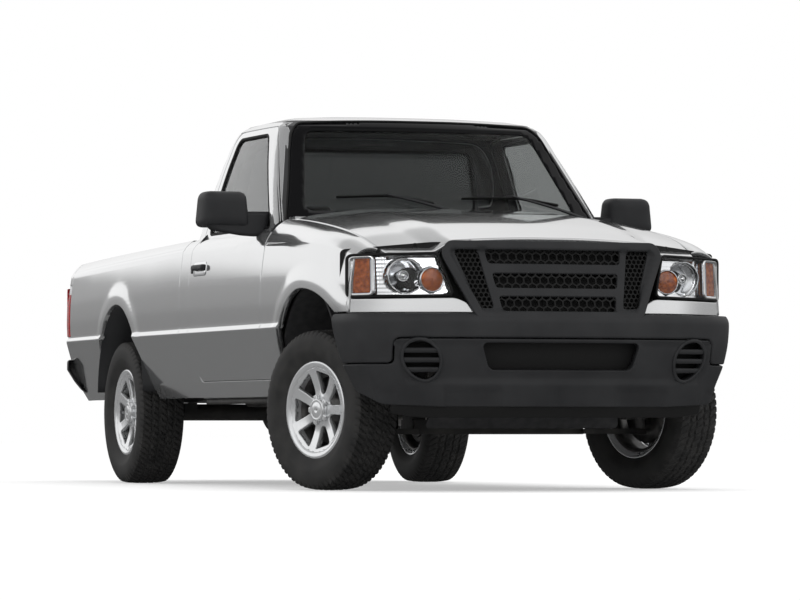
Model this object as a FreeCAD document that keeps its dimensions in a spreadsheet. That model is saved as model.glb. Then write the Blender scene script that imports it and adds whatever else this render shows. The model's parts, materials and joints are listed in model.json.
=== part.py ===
"""A compact regular-cab pickup truck, as it parks, in millimetres.

The truck faces -Y, its left side is +X and the ground is z = 0. The origin is on the ground at the
middle of the truck's length and width. The front wheels rest steered to the truck's left.
"""
import FreeCAD, Part
import math
import os
import re

Vector = FreeCAD.Vector
doc = FreeCAD.newDocument("pickup_truck")

# Driving dimensions. Each row is an alias, its value and what it measures.
DIMENSIONS = [
    ("wheelbase", 2832.0, "front axle to rear axle"),
    ("front_axle", -1567.5, "y of the front axle"),
    ("front_end", -2405.5, "y of the bumper's foremost point"),
    ("rear_end", 2405.5, "y of the rear bumper's rear face"),
    ("front_track", 1486.0, "between the front tyres' middles"),
    ("rear_track", 1462.0, "between the rear tyres' middles"),
    ("tyre_radius", 342.0, "hub height and tread radius"),
    ("tyre_width", 225.0, "sidewall to sidewall"),
    ("bead_radius", 200.0, "where tyre meets rim"),
    ("rim_width", 178.0, "rim flange to rim flange"),
    ("kingpin_x", 690.0, "steering axis from the middle"),
    ("steer_rest", 18.0, "front wheels' angle as parked"),
    ("spindle_radius", 16.0, "stub that carries a front wheel"),
    ("disc_radius", 130.0, "front brake disc"),
    ("drum_radius", 128.0, "rear brake drum"),
    ("gap_y", 205.0, "y of the cab's rear wall"),
    ("bed_gap", 12.0, "cab to bed"),
    ("bed_end", 2314.0, "y of the bed's rear corners"),
    ("door_front", -1002.0, "y of the door's front edge"),
    ("door_rear", 70.0, "y of the door's rear edge"),
    ("door_bottom", 478.0, "z of the door's lower edge"),
    ("shut_gap", 6.0, "between panels that part"),
    ("door_wall", 150.0, "door thickness below the window"),
    ("frame_wall", 45.0, "pillar and roof thickness"),
    ("handle_proud", 22.0, "how far a door handle stands off the skin"),
    ("flare_width", 46.0, "lip round a wheel opening"),
    ("flare_proud", 14.0, "how far the lip stands off the skin"),
    ("skin_step", 22.0, "depth of the door's outer flange"),
    ("flange_width", 27.0, "how far the flange laps the jamb"),
    ("roof_height", 1681.0, "top of the roof"),
    ("belt_height", 1131.0, "sill of the door windows"),
    ("rocker_height", 401.0, "lowest edge of the body side"),
    ("floor_under", 495.0, "cab floor's lower face"),
    ("floor_thick", 30.0, "cab floor"),
    ("panel", 30.0, "fender and bed skin with its inner panel"),
    ("arch_half", 388.0, "half the length of a wheel opening"),
    ("arch_height", 420.0, "rise of a wheel opening over its centre"),
    ("arch_centre", 440.0, "z of a wheel opening's centre"),
    ("glass", 5.0, "glass thickness"),
    ("hood_thick", 28.0, "hood with its inner frame"),
    ("hood_rear", -1080.0, "y of the hood's rear edge"),
    ("bed_floor", 685.0, "load floor"),
    ("bed_floor_thick", 40.0, "load floor with its ribs"),
    ("bed_half", 690.0, "half the load space's width"),
    ("bed_front_wall", 40.0, "front wall of the bed"),
    ("gate_thick", 52.0, "tailgate"),
    ("gate_top", 1084.0, "tailgate's upper edge"),
    ("rail_width", 70.0, "frame rail"),
    ("rail_depth", 130.0, "frame rail"),
    ("rail_front_x", 330.0, "inner face of a rail at the engine"),
    ("rail_rear_x", 395.0, "inner face of a rail under cab and bed"),
    ("axle_tube", 40.0, "rear axle tube radius"),
    ("diff_radius", 125.0, "differential housing"),
    ("spring_x", 505.0, "leaf spring's middle line"),
    ("spring_width", 60.0, "leaf spring"),
    ("engine_width", 480.0, "engine block"),
    ("engine_length", 560.0, "engine block"),
    ("engine_height", 540.0, "engine block"),
    ("engine_front", -2010.0, "y of the engine's front"),
    ("engine_bottom", 425.0, "z of the sump"),
    ("steering_x", 370.0, "steering wheel from the middle"),
    ("wheel_rim", 188.0, "steering wheel radius"),
    ("column_tilt", 24.0, "steering column above level"),
    ("column_radius", 20.0, "steering column"),
    ("gate_pin", 10.0, "tailgate pin radius"),
    ("gate_pin_z", 662.0, "tailgate pin height"),
    ("seat_gap", 0.3, "between a piece and its seat"),
    ("tunnel_radius", 130.0, "tunnel over the gearbox, inside"),
    ("shaft_tunnel", 100.0, "tunnel over the driveshaft, inside"),
    ("gearbox_z", 470.0, "height of the gearbox's middle line"),
    ("case_radius", 112.0, "gearbox case"),
]

sheet = doc.addObject("Spreadsheet::Sheet", "Sizes")
for row, (alias, value, note) in enumerate(DIMENSIONS, start=1):
    sheet.set("A%d" % row, alias)
    sheet.set("B%d" % row, str(value))
    sheet.set("C%d" % row, note)
    sheet.setAlias("B%d" % row, alias)
doc.recompute()


class Sheet:
    """The spreadsheet's values, read by name."""


size = Sheet()
for alias, _, _ in DIMENSIONS:
    setattr(size, alias, float(sheet.get(alias)))

NAMES = {alias for alias, _, _ in DIMENSIONS}
rear_axle_y = size.front_axle + size.wheelbase
bed_front = size.gap_y + size.bed_gap
nodes = {}


def rule(text):
    """Turns a rule in aliases into an expression on the sheet."""
    return re.sub(r"[a-z][a-z_]+", lambda m: "Sizes." + m.group() if m.group() in NAMES else m.group(), text)


def primitive(kind, label, at=("0", "0", "0"), turn=None, **sizes):
    """A Part primitive with its sizes and place bound to the sheet; turn is (axis, degrees)."""
    piece = doc.addObject("Part::" + kind, label)
    piece.Label = label
    for name, text in sizes.items():
        piece.setExpression(name, rule(text))
    if turn:
        piece.Placement = FreeCAD.Placement(Vector(), FreeCAD.Rotation(Vector(*turn[0]), turn[1]))
    for axis, text in zip("xyz", at):
        piece.setExpression("Placement.Base." + axis, rule(text))
    return piece


def box(label, at, width, length, height):
    """A block from its low corner: width along X, length along Y, height along Z."""
    return primitive("Box", label, at, Length=width, Width=length, Height=height)


ALONG = {"x": ((0, 1, 0), 90), "y": ((1, 0, 0), -90), "z": None}


def cylinder(label, at, axis, radius, length):
    """A round bar that starts at a point and runs up an axis."""
    return primitive("Cylinder", label, at, ALONG[axis], Radius=radius, Height=length)


def cone(label, at, axis, first, second, length):
    """A tapered round bar that starts at a point and runs up an axis."""
    return primitive("Cone", label, at, ALONG[axis], Radius1=first, Radius2=second, Height=length)


def fuse(label, *pieces):
    """One solid from pieces that meet."""
    joined = doc.addObject("Part::MultiFuse", label)
    joined.Shapes = list(pieces)
    joined.Label = label
    return joined


def feature(label, shape, place=None):
    """A surface-shaped piece that primitives can't give, from Part's own functions."""
    piece = doc.addObject("Part::Feature", label)
    piece.Label = label
    piece.Shape = shape
    piece.Placement = place or FreeCAD.Placement()
    return piece


def line(start, end):
    """A straight edge."""
    return Part.makeLine(Vector(*start), Vector(*end))


def bow(start, through, end):
    """An arc through three points."""
    return Part.Arc(Vector(*start), Vector(*through), Vector(*end)).toShape()


def polygon(points):
    """A closed outline of straight edges."""
    corners = [Vector(*point) for point in points]
    return Part.makePolygon(corners + corners[:1])


def rounded(points, radius):
    """A closed outline in one plane with an arc of one radius at every corner."""
    edges = []
    count = len(points)
    tangents = []
    for index in range(count):
        corner = Vector(*points[index])
        before = (Vector(*points[index - 1]) - corner).normalize()
        after = (Vector(*points[(index + 1) % count]) - corner).normalize()
        half = before.getAngle(after) / 2
        reach = radius / math.tan(half)
        middle = corner + (before + after).normalize() * (radius / math.sin(half) - radius)
        tangents.append((corner + before * reach, middle, corner + after * reach))
    for index in range(count):
        start, middle, end = tangents[index]
        edges.append(Part.Arc(start, middle, end).toShape())
        edges.append(Part.makeLine(end, tangents[(index + 1) % count][0]))
    return Part.Wire(edges)


def prism(wire, direction):
    """A solid swept from a flat outline."""
    return Part.Face(wire).extrude(Vector(*direction))


def loft(wires, ruled=False):
    """A solid skin over outlines that follow each other."""
    return Part.makeLoft(wires, True, ruled)


def side_prism(points, radius, x_from, x_to):
    """A side-view outline of (y, z) corners carried across the truck."""
    return prism(rounded([(x_from, y, z) for y, z in points], radius), (x_to - x_from, 0, 0))


def front_prism(points, radius, y_from, y_to):
    """A front-view outline of (x, z) corners carried along the truck."""
    return prism(rounded([(x, y_from, z) for x, z in points], radius), (0, y_to - y_from, 0))


def block(low, high):
    """A plain block between two corners."""
    return Part.makeBox(high[0] - low[0], high[1] - low[1], high[2] - low[2], Vector(*low))


def bar(start, end, radius):
    """A round bar between two points."""
    first = Vector(*start)
    along = Vector(*end) - first
    return Part.makeCylinder(radius, along.Length, first, along)


def opposite(shape):
    """The same shape on the truck's other side."""
    return shape.mirror(Vector(), Vector(1, 0, 0))


# The body side: half width and height of each crease, from the rocker's lower edge to the belt.
ROCKER = (760.0, size.rocker_height)
ROCKER_CREASE = (805.0, 473.0)
MID_CREASE = (880.0, 702.0)
SIDE_SWELL = (873.0, 900.0)
BELT_CREASE = (851.0, 1085.0)
BELT_TOP = (803.0, size.belt_height)


def side_wire(y, inset=0.0, drop=0.0, draw=0.0):
    """The lower body's closed section at y: inset moves the sides in, drop lowers the belt,
    draw narrows the section towards the truck's ends."""
    def point(pair, lower=0.0):
        return (pair[0] - inset - draw, y, pair[1] - lower)
    half = [point(ROCKER), point(ROCKER_CREASE), point(MID_CREASE), point(SIDE_SWELL, drop / 2),
            point(BELT_CREASE, drop), point(BELT_TOP, drop)]
    other = [(-x, y, z) for x, y, z in half]
    edges = [line(half[0], half[1]), line(half[1], half[2]), bow(half[2], half[3], half[4]),
             line(half[4], half[5]), line(half[5], other[5]), line(other[5], other[4]),
             bow(other[4], other[3], other[2]), line(other[2], other[1]), line(other[1], other[0]),
             line(other[0], half[0])]
    return Part.Wire(edges)


def lower_cab(front, rear, inset=0.0):
    """The cab below the window sills between two stations."""
    return loft([side_wire(front, inset), side_wire(rear, inset)], ruled=True)


# The greenhouse in level sections: height, half width, windshield corner, windshield middle, rear.
EAVES = 1622.0
SIDES = [
    (size.belt_height, 799.0, (752.0, -968.0), -1094.0, size.gap_y - 2),
    (1254.0, 767.0, (712.0, -867.0), -984.0, 194.0),
    (1377.0, 730.0, (671.0, -766.0), -874.0, 180.0),
    (1500.0, 688.0, (629.0, -665.0), -761.0, 156.0),
    (EAVES, 634.0, (582.0, -565.0), -645.0, 118.0),
]
ROOF = [
    SIDES[-1],
    (EAVES + 27, 596.0, (548.0, -520.0), -600.0, 92.0),
    (EAVES + 45, 520.0, (474.0, -450.0), -520.0, 46.0),
    (size.roof_height, 340.0, (310.0, -340.0), -380.0, -10.0),
]
CORNER_RUN = 60.0
REAR_ROUND = 70.0
BOW_OUT = 8.0


def level_wire(section, inset=0.0):
    """One level outline of the greenhouse, its four sides gently bowed."""
    z, half, corner, middle, rear = section
    half = half - inset
    cx = corner[0] - inset
    cy = corner[1] + inset
    middle = middle + inset
    rear = rear - inset
    side_front = (half - BOW_OUT, cy + CORNER_RUN, z)
    side_rear = (half - BOW_OUT, rear - REAR_ROUND, z)
    back = (half - REAR_ROUND, rear - BOW_OUT, z)
    corner_mid = ((cx + half - BOW_OUT) / 2 + 9, cy + CORNER_RUN / 2 - 6, z)
    back_mid = (half - REAR_ROUND * 0.29 - BOW_OUT, rear - REAR_ROUND * 0.29 - BOW_OUT, z)

    def other(point):
        return (-point[0], point[1], point[2])
    return Part.Wire([
        bow(other((cx, cy, z)), (0, middle, z), (cx, cy, z)),
        bow((cx, cy, z), corner_mid, side_front),
        bow(side_front, (half, (side_front[1] + side_rear[1]) / 2, z), side_rear),
        bow(side_rear, back_mid, back),
        bow(back, (0, rear, z), other(back)),
        bow(other(back), other(back_mid), other(side_rear)),
        bow(other(side_rear), (-half, (side_front[1] + side_rear[1]) / 2, z), other(side_front)),
        bow(other(side_front), other(corner_mid), other((cx, cy, z))),
    ])


def greenhouse(inset=0.0, roof_drop=0.0):
    """The cab above the sills as one solid; the inner skin is inset and its roof lowered."""
    def levels(sections):
        lowered = [(section[0] - (roof_drop if section[0] >= EAVES else 0.0),) + section[1:]
                   for section in sections]
        return [level_wire(section, inset) for section in lowered]
    return loft(levels(SIDES)).fuse(loft(levels(ROOF), ruled=True))


def side_loft(base):
    """Both halves of a paired cutter."""
    return Part.makeCompound([base, opposite(base)])


# Door outline and window outline in the side view.
DOOR_OUTLINE = [
    (size.door_front, size.door_bottom),
    (size.door_rear, size.door_bottom),
    (size.door_rear, 1330.0),
    (46.0, 1622.0),
    (-528.0, 1622.0),
    (-938.0, 1158.0),
    (size.door_front, 1060.0),
]
WINDOW_OUTLINE = [
    (-872.0, 1152.0),
    (2.0, 1152.0),
    (4.0, 1380.0),
    (-16.0, 1586.0),
    (-440.0, 1586.0),
]
DOOR_CORNER = 34.0
HANDLE_OUTLINE = [(-170.0, 984.0), (-8.0, 984.0), (-8.0, 1010.0), (-170.0, 1010.0)]
HANDLE_CORNER = 12.0
OUTSIDE = 960.0
INSIDE = 420.0


def grown(points, amount):
    """An outline moved outwards by an amount, side by side; a negative amount moves it inwards."""
    wire = polygon([(0, y, z) for y, z in points])
    moved = wire.makeOffset2D(amount, 2)
    ordered = [vertex.Point for vertex in moved.OrderedVertexes]
    return [(point.y, point.z) for point in ordered]


def door_cutter(amount, x_from=INSIDE, x_to=OUTSIDE):
    """The door's outline carried outwards from inside the cab, grown by an amount."""
    return side_prism(grown(DOOR_OUTLINE, amount), DOOR_CORNER, x_from, x_to)


CAB_FRONT = -1115.0


def make_cab_skins():
    """The cab's outer form, the form at the door flange's depth and the cabin inside."""
    outer = lower_cab(CAB_FRONT, size.gap_y).fuse(greenhouse())
    flange = lower_cab(CAB_FRONT - 5, size.gap_y + 5, size.skin_step).fuse(greenhouse(size.skin_step))
    jamb_inset = size.skin_step + size.shut_gap
    jamb = lower_cab(CAB_FRONT - 5, size.gap_y + 5, jamb_inset).fuse(greenhouse(jamb_inset))
    cabin_floor = size.floor_under + size.floor_thick
    cabin_low = lower_cab(CAB_FRONT + size.frame_wall, size.gap_y - size.frame_wall, size.door_wall)
    cabin_low = cabin_low.cut(block((-950, -1200, 300), (950, 400, cabin_floor)))
    cabin = cabin_low.fuse(greenhouse(size.frame_wall, size.frame_wall - 10))
    return outer, flange, jamb, cabin


outer_skin, flange_skin, jamb_skin, cabin_space = make_cab_skins()

WINDSHIELD = [(-676.0, 1196.0), (676.0, 1196.0), (552.0, 1612.0), (-552.0, 1612.0)]
REAR_WINDOW = [(-600.0, 1180.0), (600.0, 1180.0), (530.0, 1560.0), (-530.0, 1560.0)]
GLASS_CORNER = 60.0
COWL_HALF = 735.0
COWL_TOP = 1190.0


DOOR_LAP = 10.0
HINGE_HEIGHTS = (600.0, 960.0)
HINGE_POST_X = 560.0
TUNNEL_WALL = 26.0
TUNNEL_STEP = -600.0


def tunnel(grow):
    """The space over gearbox and driveshaft, or with a wall added, the ridge in the cab's floor."""
    wide = bar((0, CAB_FRONT - 90, size.gearbox_z), (0, TUNNEL_STEP + grow, size.gearbox_z),
               size.tunnel_radius + grow)
    slim = bar((0, TUNNEL_STEP - 20, 455), (0, 400, 455), size.shaft_tunnel + grow)
    return wide.fuse(slim)


def floor_side(inset):
    """The cab's floor between the doors, out to an inset from the body side."""
    below = block((-950, -1300, 300), (950, 500, size.floor_under + size.floor_thick + size.seat_gap))
    return lower_cab(CAB_FRONT - 20, size.gap_y + 20, inset).common(below)


def make_cab():
    """The cab shell: floor, tunnel, firewall, cowl, pillars, roof and rear wall around the cabin."""
    shell = outer_skin.cut(cabin_space)
    under = block((-950, -1200, 300), (950, 400, size.floor_under))
    sill = lower_cab(CAB_FRONT - 5, size.gap_y + 5, 130.0)
    shell = shell.cut(under.common(sill))
    hidden = lower_cab(CAB_FRONT - 10, size.door_front - size.shut_gap).cut(
        lower_cab(CAB_FRONT - 20, size.door_front, size.panel + 8))
    hidden = hidden.cut(block((-950, -1200, size.belt_height - 2), (950, 0, 1200)))
    shell = shell.cut(hidden)
    shoulder = block((COWL_HALF + 6, -1200, 1000),
                     (950, size.door_front - size.shut_gap, size.belt_height + 1))
    shell = shell.cut(side_loft(shoulder))
    cowl = block((-COWL_HALF, size.hood_rear + size.shut_gap, 1100), (COWL_HALF, -985, COWL_TOP))
    shell = shell.fuse(cowl.cut(cabin_space))
    wide = door_cutter(size.shut_gap)
    shell = shell.cut(side_loft(wide.cut(jamb_skin)))
    doorway = door_cutter(-DOOR_LAP).cut(floor_side(size.door_wall + size.shut_gap))
    shell = shell.cut(side_loft(doorway))
    shell = shell.cut(front_prism(WINDSHIELD, GLASS_CORNER, -1300.0, -400.0))
    shell = shell.cut(front_prism(REAR_WINDOW, GLASS_CORNER, 20.0, 300.0))
    under_ridge = block((-400, CAB_FRONT + 20, size.floor_under), (400, size.gap_y - 20, 800))
    ridge = tunnel(TUNNEL_WALL).common(under_ridge)
    shell = shell.fuse(ridge)
    shell = shell.cut(tunnel(0.0))
    post = block((HINGE_POST_X, CAB_FRONT + 3, 1090), (HINGE_POST_X + 80, CAB_FRONT + 43, 1300))
    shell = shell.fuse(side_loft(post.common(front_body(size.hood_thick + size.seat_gap))))
    for low in HINGE_HEIGHTS:
        leaf = block((765, size.door_front + DOOR_LAP - 5, low),
                     (812, size.door_front + size.flange_width - size.seat_gap, low + 60))
        shell = shell.fuse(side_loft(leaf))
    return shell.removeSplitter()


def make_door():
    """The left door: an outer panel that laps the jamb, a thick inner body and a window frame."""
    outer = outer_skin.cut(flange_skin).common(door_cutter(0.0))
    inner = flange_skin.cut(cabin_space).cut(floor_side(size.door_wall))
    inner = inner.common(door_cutter(-size.flange_width))
    door = outer.fuse(inner)
    window = side_prism(WINDOW_OUTLINE, DOOR_CORNER, INSIDE, OUTSIDE)
    reach = outer_skin.translated(Vector(size.handle_proud, 0, 0))
    handle = side_prism(HANDLE_OUTLINE, HANDLE_CORNER, 700.0, OUTSIDE).common(reach)
    return door.cut(window).fuse(handle.cut(cabin_space)).removeSplitter()


GLASS_DEPTH = 8.0
glass_skin = greenhouse(GLASS_DEPTH).cut(greenhouse(GLASS_DEPTH + size.glass))


def make_door_glass():
    """The left door's pane, seated in its window."""
    return glass_skin.common(side_prism(grown(WINDOW_OUTLINE, -size.seat_gap), DOOR_CORNER, INSIDE, OUTSIDE))


def make_cab_glass():
    """The windshield and the rear window, each seated in its opening."""
    front = glass_skin.common(front_prism(grown(WINDSHIELD, -size.seat_gap), GLASS_CORNER, -1300.0, -400.0))
    rear = glass_skin.common(front_prism(grown(REAR_WINDOW, -size.seat_gap), GLASS_CORNER, 20.0, 300.0))
    return Part.makeCompound([front.Solids[0], rear.Solids[0]])


door = make_door()
nodes["door_left"] = feature("door_left", door)
nodes["door_right"] = feature("door_right", opposite(door))
pane = make_door_glass()
nodes["door_glass_left"] = feature("door_glass_left", pane)
nodes["door_glass_right"] = feature("door_glass_right", opposite(pane))
nodes["cab_glass"] = feature("cab_glass", make_cab_glass())

# The front body in sections: y, draw of the sides, crease height of the belt, hood edge, dome
# foot, dome edge and crown, each as half width and height.
FRONT_BODY = [
    (size.door_front - size.shut_gap, 0.0, 1066.0, (742, 1184), (560, 1216), (440, 1230), 1240),
    (-1300.0, 0.0, 1060.0, (738, 1160), (552, 1192), (430, 1208), 1218),
    (-1600.0, 0.0, 1050.0, (732, 1124), (543, 1156), (425, 1176), 1186),
    (-1900.0, 12.0, 1022.0, (722, 1070), (533, 1100), (425, 1128), 1140),
    (-2093.0, 38.0, 985.0, (706, 1012), (520, 1040), (432, 1080), 1097),
    (-2290.0, 100.0, 930.0, (650, 950), (500, 978), (440, 1030), 1050),
    (-2430.0, 170.0, 880.0, (590, 892), (480, 920), (425, 985), 1006),
]


def front_wire(section, inset=0.0):
    """One closed cross-section of the front body: sides, shoulders and the hood's raised middle."""
    y, draw, belt, edge, foot, dome, crown = section
    down = inset

    def side(pair, z=None):
        return (pair[0] - inset - draw, y, pair[1] if z is None else z)
    rocker, rocker_crease, mid = side(ROCKER), side(ROCKER_CREASE), side(MID_CREASE)
    swell = side(SIDE_SWELL, (MID_CREASE[1] + belt) / 2)
    shoulder = side(BELT_CREASE, belt)
    edge = (edge[0] - inset, y, edge[1] - down)
    foot = (foot[0], y, foot[1] - down)
    dome = (dome[0], y, dome[1] - down)
    round_over = ((shoulder[0] * 0.42 + edge[0] * 0.58) + 8, y, (shoulder[2] * 0.42 + edge[2] * 0.58) + 7)

    def other(point):
        return (-point[0], point[1], point[2])
    half = [line(rocker, rocker_crease), line(rocker_crease, mid), bow(mid, swell, shoulder),
            bow(shoulder, round_over, edge), line(edge, foot), line(foot, dome)]
    rest = [line(other(dome), other(foot)), line(other(foot), other(edge)),
            bow(other(edge), other(round_over), other(shoulder)),
            bow(other(shoulder), other(swell), other(mid)),
            line(other(mid), other(rocker_crease)), line(other(rocker_crease), other(rocker)),
            line(other(rocker), rocker)]
    return Part.Wire(half + [bow(dome, (0, y, crown - down), other(dome))] + rest)


def front_body(inset=0.0):
    """The front body's form from the doors to the nose."""
    return loft([front_wire(section, inset) for section in FRONT_BODY])


nose_form = front_body()
nose_inner = front_body(size.panel)
hood_inner = front_body(size.hood_thick)
nodes["cab"] = feature("cab", make_cab())


BUMPER_TOP = 748.0


def arch(axle_y, x_from, x_to, grow=0.0):
    """A wheel opening: half an ellipse over straight sides, carried across."""
    half = size.arch_half + grow
    rise = size.arch_height + grow
    centre = Vector(x_from, axle_y, size.arch_centre)
    if rise > half:
        ellipse = Part.Ellipse(centre + Vector(0, 0, rise), centre + Vector(0, half, 0), centre)
    else:
        ellipse = Part.Ellipse(centre + Vector(0, half, 0), centre + Vector(0, 0, rise), centre)
    dome = prism(Part.Wire(ellipse.toShape()), (x_to - x_from, 0, 0))
    legs = block((min(x_from, x_to), axle_y - half, -50),
                 (max(x_from, x_to), axle_y + half, size.arch_centre))
    return dome.fuse(legs)


ARCH_LEAD = 595.0


def arch_lead(grow=0.0):
    """The front opening's flatter run from its top to the bumper's upper corner."""
    centre = Vector(500, size.front_axle, size.arch_centre)
    ellipse = Part.Ellipse(centre + Vector(0, ARCH_LEAD + grow, 0),
                           centre + Vector(0, 0, size.arch_height + grow), centre)
    whole = prism(Part.Wire(ellipse.toShape()), (500, 0, 0))
    return whole.common(block((400, -2300, BUMPER_TOP - 20), (1100, size.front_axle, 960)))


def flare(form, axle_y, space):
    """The lip round a wheel opening: a band of the body's form moved outwards, down to the mid crease."""
    band = space.common(block((700, axle_y - 700, MID_CREASE[1]), (1000, axle_y + 700, 960)))
    proud = form.translated(Vector(size.flare_proud, 0, 0))
    return band.common(proud).cut(form.translated(Vector(-size.panel / 2, 0, 0)))


# The hood in plan: half width at its rear, along the fenders and beside the lamps, and the leading edge.
HOOD_PLAN = [(742.0, size.hood_rear), (735.0, -1600.0), (722.0, -1960.0), (712.0, -2146.0)]
HOOD_LEAD = [(500.0, -2222.0), (440.0, -2232.0), (0.0, -2250.0)]


def hood_plan(grow):
    """The hood's outline seen from above, grown by an amount."""
    right = [(x + grow, y + (grow if y == size.hood_rear else 0.0)) for x, y in HOOD_PLAN]
    lead = [(x + grow * (x > 0), y - grow) for x, y in HOOD_LEAD]
    half = right + lead
    outline = half + [(-x, y) for x, y in reversed(half[:-1])]
    return prism(polygon([(x, y, 700) for x, y in outline]), (0, 0, 700))


hood_space = hood_plan(size.shut_gap).cut(front_body(size.hood_thick + size.shut_gap))


def make_hood():
    """The hood: the upper skin of the front body inside the hood's outline."""
    return nose_form.cut(hood_inner).common(hood_plan(0.0)).cut(block((-900, -2400, 0), (900, 0, 900)))


FENDER_FRONT = -2093.0


def make_fender():
    """The left fender: the side skin from the door to the lamp with its wheel opening."""
    skin = nose_form.cut(nose_inner)
    region = block((300, FENDER_FRONT, 300), (950, size.door_front - size.shut_gap, 1300))
    fender = skin.common(region).cut(hood_plan(size.shut_gap))
    fender = fender.cut(arch(size.front_axle, 500, 1000)).cut(arch_lead())
    low_front = block((300, -2400, 0), (1000, size.front_axle, BUMPER_TOP))
    rear_half = block((400, size.front_axle, 0), (1100, 0, 960))
    space = arch(size.front_axle, 500, 1000, size.flare_width).common(rear_half)
    space = space.fuse(arch_lead(size.flare_width))
    lip = flare(nose_form, size.front_axle, space).common(region)
    fender = fender.fuse(lip.cut(arch(size.front_axle, 500, 1000)).cut(arch_lead()))
    inner_edge = block((0, -2400, 0), (690, 0, 1040))
    cowl_side = block((0, size.hood_rear - 10, 900), (COWL_HALF + size.shut_gap, 0, 1300))
    return fender.cut(low_front).cut(inner_edge).cut(cowl_side).removeSplitter()


nodes["hood"] = feature("hood", make_hood())
fender = make_fender()
nodes["fender_left"] = feature("fender_left", fender)
nodes["fender_right"] = feature("fender_right", opposite(fender))

# The nose in plan at two heights: grille corner, lamp's inner edge and lamp's outer edge.
NOSE_LOW = (690.0, -2392.0, (360.0, -2372.0), (560.0, -2296.0), (836.0, -2093.0))
NOSE_HIGH = (1062.0, -2276.0, (445.0, -2252.0), (560.0, -2214.0), (800.0, -2085.0))
NOSE_BACK = -2060.0


def nose_wire(level, inset=0.0):
    """The nose's plan outline at one height."""
    z, front, first, second, outer = level
    right = [(outer[0] - inset, NOSE_BACK + inset), (outer[0] - inset, outer[1] + inset * 0.4)]
    right += [(second[0] - inset * 0.4, second[1] + inset), (first[0], first[1] + inset), (0, front + inset)]
    points = [(x, y, z) for x, y in right] + [(-x, y, z) for x, y in reversed(right[:-1])]
    curve = Part.BSplineCurve()
    curve.interpolate([Vector(*point) for point in points[1:-1]])
    return Part.Wire([line(points[0], points[1]), curve.toShape(), line(points[-2], points[-1]),
                      line(points[-1], points[0])])


def nose(inset=0.0):
    """The nose between its two plan outlines."""
    return loft([nose_wire(NOSE_LOW, inset), nose_wire(NOSE_HIGH, inset)], ruled=True)


nose_face = nose()
GRILLE_OUTLINE = [(-372, 716), (372, 716), (400, 780), (500, 985), (468, 1040), (-468, 1040), (-500, 985),
                  (-400, 780)]
GRILLE_CORNER = 18.0
LAMP_OUTLINE = [(465.0, 812.0), (900.0, 808.0), (900.0, 982.0), (512.0, 990.0)]
STRIP_BOTTOM = 757.0
GRILLE_DEPTH = 46.0
PANEL_DEPTH = 84.0


def make_grille():
    """The grille's frame with three wide slots between two upright ones, and its mesh behind."""
    back = nose(GRILLE_DEPTH - size.seat_gap)
    outline = front_prism(grown(GRILLE_OUTLINE, -size.seat_gap), GRILLE_CORNER, -2500, -2100)
    frame = nose().cut(back).common(outline)
    slots = []
    for low, high, half_low, half_high in ((951, 1003, 294, 303), (849, 909, 270, 281), (753, 812, 252, 262)):
        slots.append(front_prism([(-half_low, low), (half_low, low), (half_high, high), (-half_high, high)],
                                 12, -2500, -2100))
    upright = front_prism([(290, 762), (350, 764), (436, 1003), (335, 1003)], 12, -2500, -2100)
    slots += [upright, opposite(upright)]
    frame = frame.cut(Part.makeCompound(slots))
    mesh = nose(34.0).cut(back).common(outline)
    return frame.fuse(mesh).cut(hood_space).removeSplitter()


def make_lamp():
    """The left headlamp, its face in line with the nose."""
    outline = grown(LAMP_OUTLINE, -size.seat_gap)
    housing = nose(3.0).common(front_prism(outline, 20, -2500, FENDER_FRONT - size.seat_gap))
    return housing.common(block((0, -2500, 0), (818, 0, 1200))).cut(hood_space)


def make_nose_panel():
    """The painted panel that carries grille and lamps, open behind both."""
    panel = nose(2.0).cut(nose(PANEL_DEPTH))
    panel = panel.common(block((-900, -2500, STRIP_BOTTOM), (900, FENDER_FRONT - size.seat_gap, 1038)))
    lamp = front_prism(LAMP_OUTLINE, 20, -2500, -2000)
    panel = panel.cut(side_loft(lamp)).cut(side_loft(block((560, -2500, 900), (900, 0, 1100))))
    seat = nose(-5.0).cut(nose(GRILLE_DEPTH)).common(front_prism(GRILLE_OUTLINE, GRILLE_CORNER, -2500, -2100))
    panel = panel.cut(seat)
    airway = front_prism([(-250, 775), (250, 775), (300, 1000), (-300, 1000)], 20, -2500, -2000)
    return panel.cut(airway).cut(hood_space)


nodes["grille"] = feature("grille", make_grille())
lamp = make_lamp()
nodes["headlamps"] = feature("headlamps", side_loft(lamp))
nodes["nose_panel"] = feature("nose_panel", make_nose_panel())

# The bumper in plan at several heights: z, half width, foremost y, y of the wheel end, tuck.
BUMPER_LEVELS = [
    (346.0, 770.0, -2352.0, -2060.0),
    (430.0, 800.0, -2372.0, -2045.0),
    (546.0, 850.0, -2396.0, -2020.0),
    (640.0, 872.0, size.front_end, -2000.0),
    (712.0, 880.0, -2402.0, -1982.0),
    (745.0, 868.0, -2376.0, -1977.0),
]
BUMPER_BACK = -1950.0


def bumper_wire(level, inset=0.0):
    """The bumper's plan outline at one height: a shallow front arc and two corner arcs."""
    z, half, front, end = level
    half = half - inset
    front = front + inset
    turn = (half * 0.80, front + 92.0, z)
    mid = (half * 0.955, (front + 92.0 + end) / 2 - 46.0, z)
    tip = (half, end, z)

    def other(point):
        return (-point[0], point[1], point[2])
    heel = (half - 6, BUMPER_BACK, z)
    return Part.Wire([
        line(heel, tip), bow(tip, mid, turn), bow(turn, (0, front, z), other(turn)),
        bow(other(turn), other(mid), other(tip)), line(other(tip), other(heel)), line(other(heel), heel),
    ])


def bumper_form(inset=0.0):
    """The whole bumper's form from the air dam's lip to its top."""
    levels = [bumper_wire(level, inset) for level in BUMPER_LEVELS]
    return loft(levels)


bumper_outer = bumper_form()
bumper_inner = bumper_form(size.panel)
SPLIT_MID = 636.0
SPLIT_SIDE = 530.0
SPLIT_X = 735.0
BUMPER_REAR = -1985.0


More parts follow.
